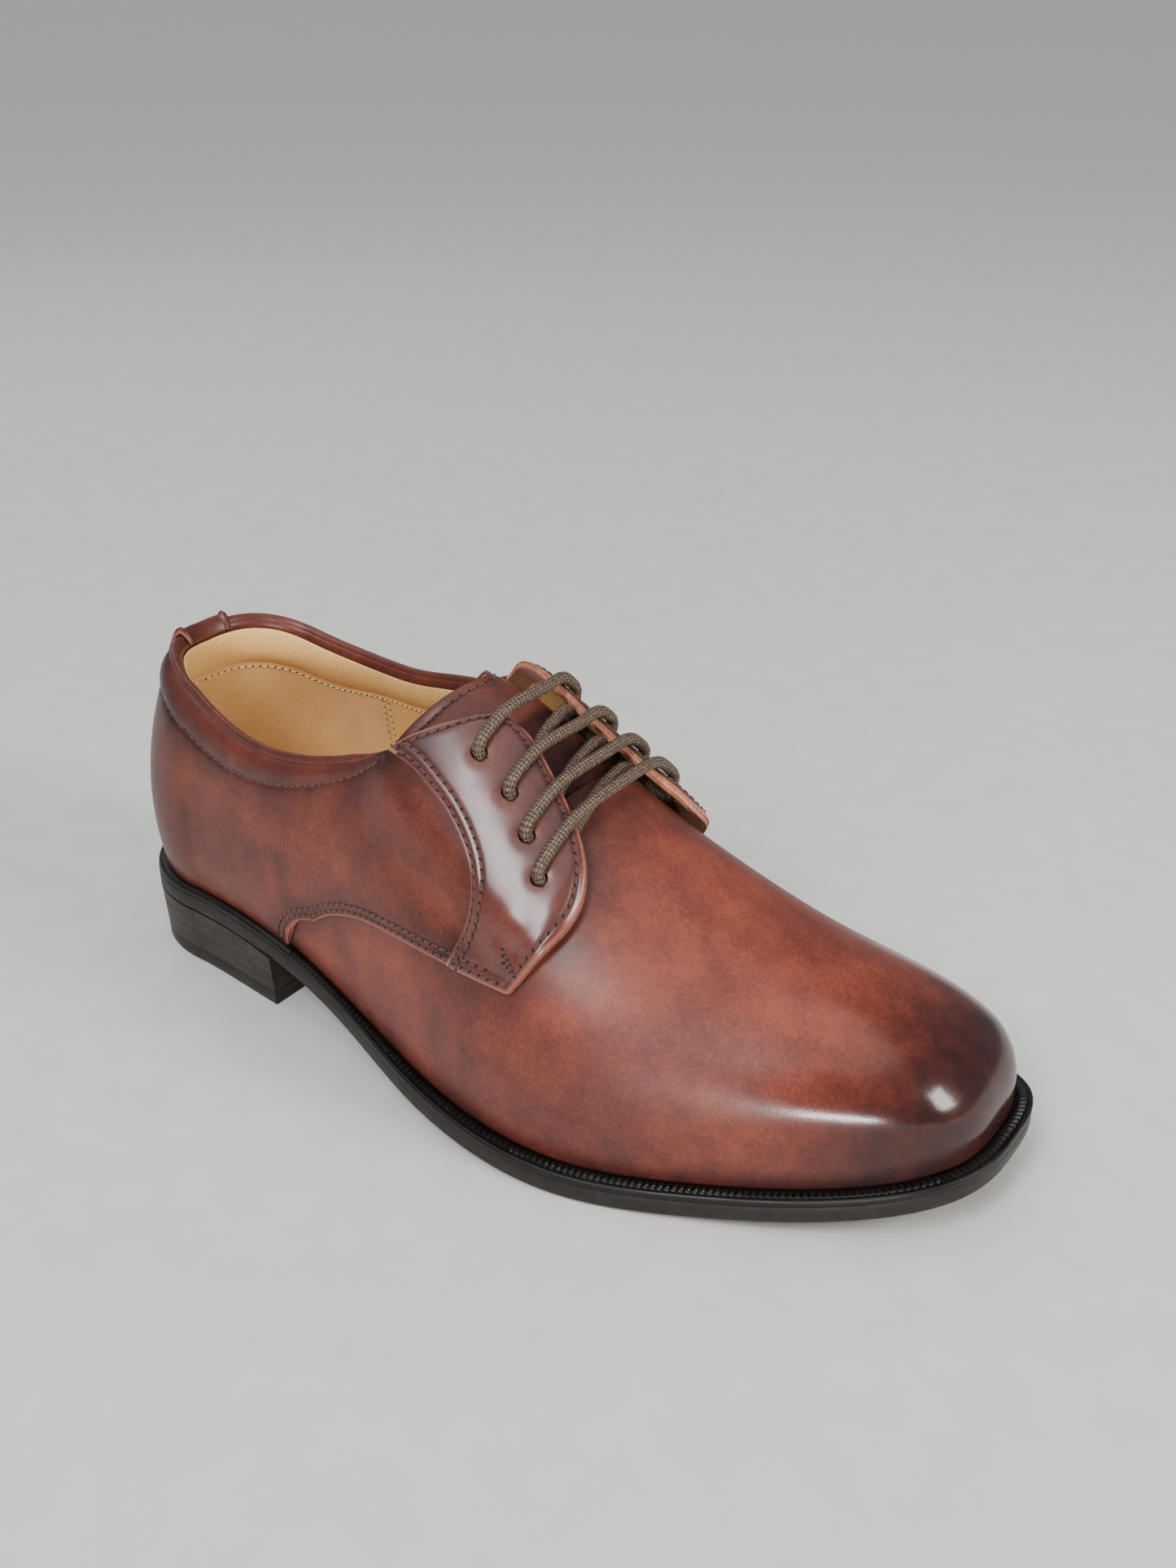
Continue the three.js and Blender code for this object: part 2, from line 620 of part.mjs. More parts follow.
function tonguePlace(u, v) {
  const across = 2 * v - 1;
  const start = mix(TONGUE_FREE_S, TONGUE_CORNER_S, Math.abs(across) ** 1.4);
  const corner = Math.min(1, Math.sqrt(0.86 + 3 * u));
  const wide = TONGUE_WIDE[across < 0 ? -1 : 1];
  const half = mix(wide, TONGUE_NARROW, smooth(u, 0.3, 0.9)) * corner;
  return [mix(start, TONGUE_SEWN_S, u), ...acrossRidge(across * half)];
}

const tongueSink = (s) => -TONGUE_SINK * (1 - smooth(s, 122, 152));

function addTongue() {
  add("tongue", layer(tonguePlace, steps(10), steps(10), TONGUE, tongueSink), BURGUNDY);
  add("tongue_lining", layer(tonguePlace, steps(10), steps(10), TONGUE_LINING, tongueSink), TAN);
}

// ---- Heel tab ---------------------------------------------------------------------------------------
// A strap folded over the topline at the back seam. Its section goes up the outside, over and down inside:
// millimetres above the topline, and distance from the last.
const TAB_FACE = [[-20, 3.1], [2.4, 3.1], [3.9, 2.1], [3.9, -4.4], [2.6, -5.4], [-6, -5.4]];
const TAB_BACK = [[-20, 2.1], [2.1, 2.1], [3, 1.7], [3, -4], [2.1, -4.4], [-6, -4.4]];

function addHeelTab() {
  const HALF_S = 9;
  const rings = roundTrip(stretch(HALF_S, BACK_SEAM, 3)).map(([s, side]) => {
    const line = (section) =>
      section.map(([mm, out]) => onLast(s, toplineT[side](s) + mm / T_MM, side, out));
    return [...line(TAB_FACE), ...line(TAB_BACK).toReversed()];
  });
  add("heel_tab", loft(rings), BURGUNDY);
}

// ---- Lace -------------------------------------------------------------------------------------------
// The lace's route, as station, profile value, side and distance from the last. It comes up through each
// outer eyelet, crosses the gap, goes down through the inner one and runs under the flaps to the next.
const LACE_UNDER = 1.85;
const LACE_ON_TONGUE = 2.7;
const LACE_OVER = 9.5;
const LACE_GAP = 7.8; // over the ridge, between the flaps
const FREE_EDGE_T = [0.878, 0.874, 0.855, 0.828]; // the flap's free edge beside each eyelet
// Climbing through an eyelet: how far towards the ridge, and how far from the last.
const CLIMB = [[0.014, 1.9], [0.003, 2.7], [0, 4.2], [0, 6.6], [0.002, 8.2], [0.012, 9.2], [0.033, LACE_OVER]];
// From the first outer eyelet, and from the inner side's top, down round the tongue into the shoe.
const TAIL = [[146, 0.728, 1.4], [141, 0.676, 0.7], [137, 0.632, -1], [133, 0.59, -4.2], [129, 0.545, -6],
  [124.5, 0.48, -6.4], [121, 0.41, -6.6], [118.5, 0.33, -6.8], [119, 0.24, -6.9], [123, 0.16, -6.8],
  [130, 0.11, -6.6], [139, 0.095, -6.4], [148, 0.09, -6.2], [156, 0.088, -6.2]];
// Under the inner flap, from the last eyelet back to the top.
const RETURN = [[176, 0.694, 1.9], [171, 0.694, 1.8], [163, 0.698, 1.7], [156, 0.705, 1.6], [150.5, 0.71, 1.6]];

function laceRoute() {
  const climb = ([s, t], side) => CLIMB.map(([dt, out]) => [s, t + dt, side, out]);
  const route = TAIL.toReversed().map(([s, t, out]) => [s, t, -1, out]);
  EYELETS.forEach((eyelet, i) => {
    const [free, middle] = [eyelet[0] + 0.5, eyelet[0] + 1.5];
    const next = EYELETS[i + 1];
    route.push(...climb(eyelet, -1), [free, FREE_EDGE_T[i], -1, LACE_OVER]);
    route.push([middle, 1, 1, LACE_GAP], [free, FREE_EDGE_T[i], 1, LACE_OVER]);
    route.push(...climb(eyelet, 1).slice(next ? 0 : 1).toReversed());
    if (next) route.push(...crossUnder(eyelet, next));
  });
  route.push(...RETURN.map(([s, t, out]) => [s, t, 1, out]));
  route.push(...TAIL.map(([s, t, out]) => [s, t, 1, out]));
  return route.map(([s, t, side, out]) => onLast(s, t, side, out));
}

// Under the flaps from an inner eyelet, over the ridge, to the next outer eyelet.
function crossUnder([s, t], [nextS, nextT]) {
  const EDGE_T = 0.87;
  const along = (f) => mix(s, nextS, f);
  return [
    [along(0.15), mix(t, EDGE_T, 0.5), 1, LACE_UNDER],
    [along(0.28), EDGE_T, 1, LACE_UNDER],
    [along(0.4), 0.94, 1, LACE_ON_TONGUE],
    [along(0.5), 1, 1, LACE_ON_TONGUE + 0.2],
    [along(0.6), 0.94, -1, LACE_ON_TONGUE],
    [along(0.72), EDGE_T, -1, LACE_UNDER],
    [along(0.86), mix(nextT, EDGE_T, 0.5), -1, LACE_UNDER],
  ];
}

// A round cord whose steps follow the route's own points, close together where it bends.
function cord(points, radius, sides) {
  const curve = new THREE.CatmullRomCurve3(points, false, "centripetal");
  curve.getUtoTmapping = (share) => share;
  const section = new THREE.Shape();
  steps(sides).slice(1).forEach((f, i) => {
    const [x, y] = [radius * Math.cos(2 * Math.PI * f), radius * Math.sin(2 * Math.PI * f)];
    if (i) section.lineTo(x, y);
    else section.moveTo(x, y);
  });
  const settings = { steps: points.length - 1, bevelEnabled: false, extrudePath: curve };
  return new THREE.ExtrudeGeometry(section, settings);
}

function addLace() {
  const AGLET_LENGTH = 12;
  const AGLET_RADIUS = 1.1;
  const route = laceRoute();
  add("lace", cord(route, LACE_RADIUS, 8), CORD);
  const ends = [[route[0], route[1]], [route.at(-1), route.at(-2)]];
  ends.forEach(([tip, before], i) => {
    const along = new THREE.Vector3().subVectors(tip, before).normalize();
    const start = tip.clone().addScaledVector(along, GAP);
    const end = start.clone().addScaledVector(along, AGLET_LENGTH);
    add(`aglet_${i + 1}`, bar(start, end, AGLET_RADIUS, 10), CORD);
  });
}

addBottom();
addWelt();
addInsole();
addVamp();
for (const name of Object.keys(SIDES)) {
  addQuarter(name);
  addEyestay(name);
  addFacingLining(name);
  addQuarterLining(name);
}
addHeelParts();
addTongue();
addHeelTab();
addLace();

export default shoe;
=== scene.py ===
"""Looks of a plain-toe, open-laced leather shoe for the right foot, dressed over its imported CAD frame.

Sizes here are millimetres in the layout of the CAD source: +X from the heel to the toe, +Y to the inner
(medial) side of the foot, +Z up. They become metres in the row frame when a mesh is made. Every part of the
upper lies on one shoe-shaped surface, the last. A place on the last is a station s, a profile value t and a
side. The station runs from heel to toe, and turns round the back of the heel in its first HEEL_S millimetres.
The profile value runs from 0 at the sole to 1 at the ridge of the instep. The side is -1 outside, 1 inside.
"""

import math

import bmesh
import bpy
import numpy as np
from mathutils import Matrix, Vector


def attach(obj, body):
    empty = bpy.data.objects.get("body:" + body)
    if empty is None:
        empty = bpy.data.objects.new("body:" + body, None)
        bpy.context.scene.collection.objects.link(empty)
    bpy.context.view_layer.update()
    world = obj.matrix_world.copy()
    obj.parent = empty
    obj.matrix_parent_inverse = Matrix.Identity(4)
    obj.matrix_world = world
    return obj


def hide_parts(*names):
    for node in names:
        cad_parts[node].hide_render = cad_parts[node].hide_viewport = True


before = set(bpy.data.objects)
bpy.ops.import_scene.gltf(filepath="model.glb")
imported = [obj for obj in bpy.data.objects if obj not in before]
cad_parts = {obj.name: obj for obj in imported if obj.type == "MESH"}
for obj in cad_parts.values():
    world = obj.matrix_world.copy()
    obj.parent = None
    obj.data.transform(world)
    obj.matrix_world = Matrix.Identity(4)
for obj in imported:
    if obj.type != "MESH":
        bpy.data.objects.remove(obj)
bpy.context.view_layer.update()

# ---- Driving dimensions, the same as in the CAD source ----
FOOTPRINT_MIDDLE = (150.4, -6.5, 0)
TOE_X = 295
TOE_START = 238
TOE_POWER = 3
HEEL_S = 38
BACK_S = 0.02  # just beside the back seam
HEEL_BACK_X = 5
HEEL_POWER = 2 / 2.15
WIDEST_T = 0.25
T_MM = 130

# Station, middle line, half width, swell out and in, widest height, ridge height, ridge shift, roundness.
SECTIONS = [
    [0, -2.5, 30, 1.5, 1.5, 16, 127, 0, 2],
    [38, 0.5, 33.4, 1.5, 1.5, 17, 126.5, 0, 2],
    [70, -1.5, 35, 1.5, 2, 18, 125, 0.5, 2],
    [100, -7, 33.2, 1, 4, 20, 126, 6, 2],
    [125, -11.5, 34.4, 1, 6, 20, 121, 12, 2],
    [150, -13, 39.7, 1, 5, 18, 109, 15, 2],
    [180, -11, 46, 1.5, 3, 16, 88.5, 13, 2.05],
    [205, -6.6, 47.8, 1.5, 1.5, 14, 74.5, 8, 2.1],
    [230, -1, 44.6, 1, 1, 13, 63, 4, 2.15],
    [255, 4.4, 39.8, 0.5, 0.5, 13, 56, 1, 2.2],
    [280, 8.6, 35.3, 0, 0, 12, 52.5, -1, 2.3],
    [302, 11, 32, 0, 0, 12, 50, -2, 2.3],
]
TREAD = [(0, 21.2), (38, 20.2), (72, 18.7), (105, 10.1), (135, 4.3), (165, 1.4), (195, 0.1), (225, 1),
         (255, 4.2), (280, 9), (304, 15)]
BACK_CURVE = [(22, 8), (30, 5.6), (42, 3.4), (55, 2.8), (70, 4.6), (85, 8.4), (100, 13.2), (115, 18.7)]

WELT_LOW = 5.5
WELT_TOP = 7.8
FEATHER = 8.1
SOCK_LOW = 10.8
SOCK_TOP = 12.3
SOLE_REACH = 5
WAIST_REACH = 3.2
HEEL_REACH = 4.2
HEEL_FOOT_REACH = 3.2
BREAST_X = 74.5
LIFT_HEIGHT = 5
HEEL_LAYERS = 4
WELT_WAIST_X = 84
FOOT_INSIDE = -5.6
FLAP_RISE = 4.3

LATERAL, MEDIAL = -1, 1
SIDE_NAMES = {LATERAL: "lateral", MEDIAL: "medial"}
TOPLINE = {
    LATERAL: [(0.1, 0.605), (14, 0.61), (27, 0.598), (38, 0.562), (52, 0.527), (68, 0.51), (82, 0.517),
              (96, 0.542), (110, 0.588), (124, 0.652)],
    MEDIAL: [(0.1, 0.605), (14, 0.61), (27, 0.595), (38, 0.57), (52, 0.553), (68, 0.549), (84, 0.561),
             (100, 0.597), (112, 0.632), (124, 0.675)],
}
FACING_TIP = (149, 0.874)
FACING_SHOULDER = {LATERAL: (136.5, 0.757), MEDIAL: (134.5, 0.785)}
FACING_FRONT = [(179.5, 0.469), (184.6, 0.55), (188, 0.61), (190, 0.67), (189.8, 0.72), (187, 0.775),
                (182.5, 0.811), (175.3, 0.842), (166.6, 0.866), (157, 0.884), FACING_TIP]
SWING = [(81, 0), (82.5, 0.08), (89, 0.19), (101, 0.274), (116, 0.328), (134, 0.369), (150, 0.403),
         (164, 0.434), (179.5, 0.469)]
EYESTAY_BACK = [(158, 0.422), (161, 0.48), (163, 0.54), (162.6, 0.585), (160, 0.612), (155, 0.634),
                (148, 0.65), (141, 0.656), (134, 0.66), (124, 0.652)]
VAMP_BACK = [(74, 0), (86, 0.22), (110, 0.31), (140, 0.4), (156, 0.5), (166, 0.7), (172, 1)]
EYELETS = [(150, 0.774), (161.8, 0.767), (170.9, 0.736), (178.8, 0.695)]
EYELET_RADIUS = 2.2
LINING_SEAM_S = 66

# ---- Dimensions of the looks ----
VAMP = (-1.2, 0.0)  # inner and outer distance from the last
QUARTER = (0.1, 1.6)
EYESTAY = (1.65, 2.8)
FACING_LINING = (-0.7, 0.1)
LINING = (-4.0, -3.0)
TONGUE = (-3.3, -2.05)  # before it sinks towards its free end
TONGUE_LINING = (-4.7, -3.35)
TONGUE_SINK = 2.6
SOLE_TUCK_T = -0.007  # the upper dips this far below its feather edge, onto the welt
LACE_RADIUS = 1.75
STITCH_PITCH = 3.0
THREAD_RADIUS = 0.4
THREAD_LIFT = 0.08  # of a thread's middle over the leather
TACK_PITCH = 1.5
TOOTH_PITCH = 1.9  # of the ribbed band on the welt
ROLL_DEPTH = 11.5  # from the topline to where the linings begin under the collar roll
ROLL_SEAM_DEPTH = 14.3  # from the topline to the stitches under the collar roll
HEEL_TAB_DEPTH = 18.2  # from the topline to the stitches across the foot of the heel tab
CAMERA_PLACE = (0.24591, -0.32359, 0.29979)
CAMERA_ANGLES = (34.705, 27.494, 0.31)  # azimuth, elevation and roll, in degrees
CAMERA_LENS = 36.71
FLOOR_REACH = 60
FLOOR_LEVEL = -0.0002  # the camera, the lights and the floor are in metres


# ---- Small mathematics ----
def mix(a, b, f):
    return a + (b - a) * f


def smooth(v, low, high):
    f = np.clip((np.asarray(v, float) - low) / (high - low), 0, 1)
    return f * f * (3 - 2 * f)


def hump(distance, width):
    """1 at no distance, falling smoothly to 0 over about twice the width."""
    return np.exp(-((distance / width) ** 2))


def unit(vectors):
    return vectors / np.linalg.norm(vectors, axis=-1, keepdims=True)


def circle(first, second, count):
    """Points round the origin in the plane of two axes, as far out as the axes are long."""
    turns = np.arange(count) * 2 * math.pi / count
    return np.cos(turns)[:, None] * np.asarray(first) + np.sin(turns)[:, None] * np.asarray(second)


def spline(pairs):
    """A natural cubic spline through (x, y) pairs, as a function of x."""
    x, y = np.array(pairs, float).T
    n = len(x)
    bend, carry = np.zeros(n), np.zeros(n)
    for i in range(1, n - 1):
        share = (x[i] - x[i - 1]) / (x[i + 1] - x[i - 1])
        p = share * bend[i - 1] + 2
        bend[i] = (share - 1) / p
        jump = (y[i + 1] - y[i]) / (x[i + 1] - x[i]) - (y[i] - y[i - 1]) / (x[i] - x[i - 1])
        carry[i] = (6 * jump / (x[i + 1] - x[i - 1]) - share * carry[i - 1]) / p
    for i in range(n - 2, -1, -1):
        bend[i] = bend[i] * bend[i + 1] + carry[i]

    def value(at):
        at = np.asarray(at, float)
        i = np.clip(np.searchsorted(x, at), 1, n - 1)
        h = x[i] - x[i - 1]
        a, b = (x[i] - at) / h, (at - x[i - 1]) / h
        curve = (a**3 - a) * bend[i - 1] + (b**3 - b) * bend[i]
        return a * y[i - 1] + b * y[i] + curve * h * h / 6

    return value


def through(points, samples=40):
    """Points along a centripetal Catmull-Rom curve through the given points."""
    p = np.asarray(points, float)
    p = np.vstack([2 * p[0] - p[1], p, 2 * p[-1] - p[-2]])
    f = np.linspace(0, 1, samples, endpoint=False)[:, None]
    made = []
    for i in range(1, len(p) - 2):
        before, here, after = (max(np.linalg.norm(p[i + k] - p[i + k - 1]), 1e-6) ** 0.5 for k in range(3))
        rise = p[i + 1] - p[i]
        start = (p[i] - p[i - 1]) / before - (p[i + 1] - p[i - 1]) / (before + here) + rise / here
        end = rise / here - (p[i + 2] - p[i]) / (here + after) + (p[i + 2] - p[i + 1]) / after
        start, end = start * here, end * here
        made.append(p[i] + start * f + (3 * rise - 2 * start - end) * f**2 + (start + end - 2 * rise) * f**3)
    return np.vstack([*made, p[-2]])


def run_of(points):
    """Length along a line of points, from its start to each point."""
    return np.concatenate([[0], np.cumsum(np.linalg.norm(np.diff(points, axis=0), axis=1))])


def resample(points, at):
    run = run_of(points)
    return np.stack([np.interp(at, run, points[:, k]) for k in range(points.shape[1])], -1)


def edge(pairs):
    """A smooth curve through (s, t) pairs, as a function of the share of its length."""
    line = through(np.array(pairs, float) * (1, T_MM))
    run = run_of(line)

    def at(share):
        d = np.clip(share, 0, 1) * run[-1]
        return np.interp(d, run, line[:, 0]), np.interp(d, run, line[:, 1]) / T_MM

    return at


def chain(first, second, share):
    """Two curves end to end, the first taking the given share."""

    def at(u):
        u = np.asarray(u, float)
        a, b = first(np.minimum(u / share, 1)), second(np.maximum((u - share) / (1 - share), 0))
        return tuple(np.where(u < share, p, q) for p, q in zip(a, b))

    return at


# ---- The last ----
middle_y, half_width, swell_out, swell_in, widest_height, ridge_z, ridge_shift, roundness = (
    spline([(row[0], row[k]) for row in SECTIONS]) for k in range(1, 9)
)
tread_z = spline(TREAD)
back_x = spline(BACK_CURVE)
topline_t = {side: spline(pairs) for side, pairs in TOPLINE.items()}


def top_at(s, side):
    return np.where(side < 0, topline_t[LATERAL](s), topline_t[MEDIAL](s))


def openness(s):
    """How far the section at a station has closed towards the toe: 1 open, 0 at the tip."""
    f = np.clip((s - TOE_START) / (TOE_X - TOE_START), 0, 1)
    return (1 - f**TOE_POWER) ** (1 / TOE_POWER)


def reach_x(s, out):
    return s + out * np.maximum(0, s - TOE_START) / (TOE_X - TOE_START)


def profile(x, s, t, side, out):
    """One section of the last: distance from the middle line, and height."""
    open_ = openness(s)
    foot = tread_z(x) + FEATHER
    half = half_width(x) + out
    widest = half + np.where(side < 0, swell_out(x), swell_in(x))
    top = foot + (ridge_z(x) + out - foot) * open_
    waist = foot + np.minimum(widest_height(x) * np.minimum(1, (top - foot) / 26), 0.45 * (top - foot))
    f = t / WIDEST_T
    low_y = side * open_ * (half + (widest - half) * (1 - (1 - f) ** 2))
    angle = np.clip((t - WIDEST_T) / (1 - WIDEST_T), 0, 1) * math.pi / 2
    across = np.maximum(0, np.cos(angle)) ** (2 / roundness(x))
    up = np.sin(angle) ** (2 / roundness(x))
    high_y = open_ * (side * widest * across + ridge_shift(x) * (1 - across))
    low = t < WIDEST_T
    return np.where(low, low_y, high_y), np.where(low, mix(foot, waist, f), mix(waist, top, up))


def round_back(s, depth, y):
    """Turns x and y of a place round the back of the heel, which lies at the given depth behind HEEL_S."""
    angle = np.clip(s / HEEL_S, 0, 1) * math.pi / 2
    x = HEEL_S - depth * np.cos(angle) ** HEEL_POWER
    return x, middle_y(np.clip(x, 0, HEEL_S)) + y * np.sin(angle) ** HEEL_POWER


def on_last(s, t, side, out):
    """Points of the last's surface, let out by the given distances."""
    s, t, side, out = np.broadcast_arrays(*(np.asarray(v, float) for v in (s, t, side, out)))
    x = reach_x(s, out)
    y, z = profile(x, s, t, side, out)
    fore = np.stack([x, middle_y(x) + y, z], -1)
    start = np.full_like(s, HEEL_S)
    y, z = profile(start, start, t, side, out)
    x, y = round_back(s, HEEL_S - back_x(z) + out, y)
    heel = np.stack([x, y, z + (tread_z(x) - tread_z(HEEL_S)) * (1 - t)], -1)
    return np.where((s < HEEL_S)[..., None], heel, fore)


def outline(s, side, out):
    """The last's outline at the sole, let out by the given distance."""
    x = reach_x(s, out)
    y = middle_y(x) + side * (half_width(x) + out) * openness(s)
    heel_x, heel_y = round_back(s, HEEL_S - HEEL_BACK_X + out, side * (half_width(HEEL_S) + out))
    heel = s < HEEL_S
    return np.where(heel, heel_x, x), np.where(heel, heel_y, y)


def sole_reach(s):
    """How far the sole stands outside the last: less at the waist."""
    back = mix(HEEL_REACH, WAIST_REACH, smooth(s, 60, 94))
    return mix(back, SOLE_REACH, smooth(s, 98, 148))


def flap_rise(s, t):
    """How far a place on a lacing flap rides up over the tongue."""
    return FLAP_RISE * smooth(s, 110, 130) * smooth(t, 0.48, 0.62) * (1 - 0.35 * smooth(s, 184, 192))


def directions(s, t, side, out):
    """Steps of the last's surface for one unit of s and of t, and its outward normal."""
    by_s = (on_last(s + 0.4, t, side, out) - on_last(s - 0.4, t, side, out)) / 0.8
    by_t = (on_last(s, t + 0.002, side, out) - on_last(s, t - 0.002, side, out)) / 0.004
    normal = np.cross(by_s, by_t) * -np.sign(np.asarray(side, float))[..., None]
    return by_s, by_t, unit(normal)


def beside(line, side, mm):
    """The (s, t) line that runs the given distance to the left of a line, seen from outside on side -1."""
    s, t = (np.array(v, float) for v in line)
    steps = 12
    for _ in range(steps):
        by_s, by_t, normal = directions(s, t, np.full_like(s, side), 1.0)
        points = on_last(s, t, side, 1.0)
        across = unit(np.cross(normal, np.gradient(points, axis=0))) * -side * (mm / steps)
        pair = np.stack([by_s, by_t], -1)
        turned = np.swapaxes(pair, -1, -2)
        step = np.linalg.solve(turned @ pair, turned @ across[..., None])[..., 0]
        s, t = evened(s + step[:, 0], t + step[:, 1])
    return s, t


def evened(s, t):
    """The same line, smoothed a little between its ends and with its points spaced evenly."""
    line = np.stack([s, t * T_MM], -1)
    for _ in range(4):
        line[1:-1] = (line[:-2] + 2 * line[1:-1] + line[2:]) / 4
    line = resample(line, np.linspace(0, run_of(line)[-1], len(line)))
    return line[:, 0], line[:, 1] / T_MM


def away(points, line):
    """Distance from each point to the nearest point of a line."""
    flat = points.reshape(-1, 3)
    best = np.full(len(flat), np.inf)
    for part in np.array_split(line, max(1, len(line) // 40)):
        best = np.minimum(best, np.linalg.norm(flat[:, None] - part[None], axis=2).min(1))
    return best.reshape(points.shape[:-1])


# ---- Meshes ----
def quads(index):
    return np.stack([index[:-1, :-1], index[1:, :-1], index[1:, 1:], index[:-1, 1:]], -1).reshape(-1, 4)


def volume(vertices, faces):
    a, b, c = (vertices[[face[k] for face in faces]] for k in (0, 1, 2))
    total = np.einsum("ij,ij->i", a, np.cross(b, c)).sum()
    fours = [face for face in faces if len(face) == 4]
    if fours:
        a, b, c = (vertices[[face[k] for face in fours]] for k in (0, 2, 3))
        total += np.einsum("ij,ij->i", a, np.cross(b, c)).sum()
    return total


def skin(outer, inner, bulge=0.3, rings=3):
    """A closed sheet between two matching grids, with a rounded rim. Parts: 0 face, 1 rim, 2 back."""
    rows, columns = outer.shape[:2]
    index = np.arange(rows * columns).reshape(rows, columns)
    size = index.size
    i = np.concatenate([np.arange(rows), np.full(columns - 1, rows - 1), np.arange(rows - 2, -1, -1),
                        np.zeros(columns - 2, int)])
    j = np.concatenate([np.zeros(rows, int), np.arange(1, columns), np.full(rows - 1, columns - 1),
                        np.arange(columns - 2, 0, -1)])
    border = index[i, j]
    within = index[np.clip(i, 1, rows - 2), np.clip(j, 1, columns - 2)]
    face, back = outer.reshape(-1, 3), inner.reshape(-1, 3)
    outwards = face[border] - face[within]
    outwards /= np.maximum(np.linalg.norm(outwards, axis=1, keepdims=True), 1e-9)
    vertices = [face, back]
    loops = [border]
    for k in range(1, rings + 1):
        f = k / (rings + 1)
        vertices.append(mix(face[border], back[border], f) + outwards * bulge * math.sin(math.pi * f))
        loops.append(2 * size + (k - 1) * len(border) + np.arange(len(border)))
    loops.append(size + border)
    rim = [np.stack([a, np.roll(a, -1), np.roll(b, -1), b], -1) for a, b in zip(loops, loops[1:])]
    front = quads(index)[:, ::-1]
    faces = np.vstack([front, *rim, size + front[:, ::-1]])
    parts = np.repeat([0, 1, 2], [len(front), sum(map(len, rim)), len(front)])
    return np.vstack(vertices), faces, parts


def tube(rings):
    """A closed solid skinned over equal rings of points, with flat ends."""
    count, size = rings.shape[:2]
    index = np.arange(count * size).reshape(count, size)
    faces = [tuple(face) for face in quads(np.hstack([index, index[:, :1]]))]
    ends = [tuple(range(size)), tuple(range((count - 1) * size, count * size))[::-1]]
    return rings.reshape(-1, 3), faces + ends


def many(template, faces, centres, axes):
    """Copies of a small template at every centre, turned to that place's three axes."""
    vertices = centres[:, None] + np.einsum("vk,nkx->nvx", template, axes)
    size = len(template)
    copies = [tuple(k * size + i for i in face) for k in range(len(centres)) for face in faces]
    return vertices.reshape(-1, 3), copies


def joined(*solids):
    vertices, faces, start = [], [], 0
    for points, around in solids:
        vertices.append(points)
        faces += [tuple(int(i) + start for i in face) for face in around]
        start += len(points)
    return np.vstack(vertices), faces


def configure(thing, settings):
    for key, value in settings.items():
        setattr(thing, key, value)


def add(name, data):
    """A new object in the scene."""
    made = bpy.data.objects.new(name, data)
    bpy.context.scene.collection.objects.link(made)
    return made


class Piece:
    """One visible piece: its mesh in the row frame, its materials, and the body it rides on."""

    def __init__(self, name, solid, materials, slot, stands_for=(), body="shoe", parts=None, weld=False):
        vertices, faces = solid
        faces = [tuple(map(int, face)) for face in faces]
        if volume(vertices, faces) < 0:
            faces = [face[::-1] for face in faces]
        mesh = bpy.data.meshes.new(name)
        mesh.from_pydata((vertices - np.array(FOOTPRINT_MIDDLE)) * 0.001, [], faces)
        for material in materials if isinstance(materials, (list, tuple)) else [materials]:
            mesh.materials.append(material)
        if parts is not None:
            mesh.polygons.foreach_set("material_index", np.asarray(parts, np.int32))
        mesh.polygons.foreach_set("use_smooth", np.ones(len(faces), bool))
        self.mesh, self.slot, self.stands_for, self.body = mesh, slot, stands_for, body
        self.object = add(name, mesh)
        if weld:
            self.weld()

    def weld(self):
        work = bmesh.new()
        work.from_mesh(self.mesh)
        bmesh.ops.remove_doubles(work, verts=work.verts, dist=2e-6)
        bmesh.ops.recalc_face_normals(work, faces=work.faces)
        work.to_mesh(self.mesh)
        work.free()

    def crease(self, degrees):
        self.mesh.set_sharp_from_angle(angle=math.radians(degrees))
        return self

    def paint(self, name, values):
        """A number for every vertex, which a material can read by name."""
        attribute = self.mesh.attributes.new(name, "FLOAT", "POINT")
        attribute.data.foreach_set("value", np.asarray(values, np.float32).ravel())
        return self

    def unwrap(self, across, along):
        """UVs from two numbers for every vertex."""
        layer = self.mesh.uv_layers.new(name="UVMap")
        corner = np.zeros(len(self.mesh.loops), np.int32)
        self.mesh.loops.foreach_get("vertex_index", corner)
        uv = np.stack([across, along], -1)[corner]
        layer.data.foreach_set("uv", uv.astype(np.float32).ravel())
        return self

    def modify(self, kind, **settings):
        """Adds a modifier and applies it."""
        configure(self.object.modifiers.new(kind.title(), kind), settings)
        self.bake()
        return self

    def bake(self):
        graph = bpy.context.evaluated_depsgraph_get()
        made = bpy.data.meshes.new_from_object(self.object.evaluated_get(graph))
        self.object.modifiers.clear()
        old, self.object.data = self.object.data, made
        made.name = self.object.name
        self.mesh = made
        bpy.data.meshes.remove(old)

    def done(self):
        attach(self.object, self.body)
        if self.stands_for:
            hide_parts(*self.stands_for)
        return self.object


def sheet(name, grid, offsets, materials, slot, stands_for=(), body="shoe", bulge=0.3, paints=None):
    """A leather panel between two distances from the last, over a grid of places."""
    s, t, side = grid
    inner, outer = offsets
    outer, inner = on_last(s, t, side, outer), on_last(s, t, side, inner)
    vertices, faces, parts = skin(outer, inner, bulge)
    made = Piece(name, (vertices, faces), materials, slot, stands_for, body, parts)
    rim = len(vertices) - 2 * s.size
    for attribute, values in (paints or {}).items():
        made.paint(attribute, np.concatenate([values.ravel(), values.ravel(), np.full(rim, values.max())]))
    return made


def grid_of(place, us, vs):
    u, v = np.meshgrid(us, vs, indexing="ij")
    s, t, side = place(u, v)
    return [np.broadcast_to(np.asarray(a, float), u.shape).copy() for a in (s, t, side)]


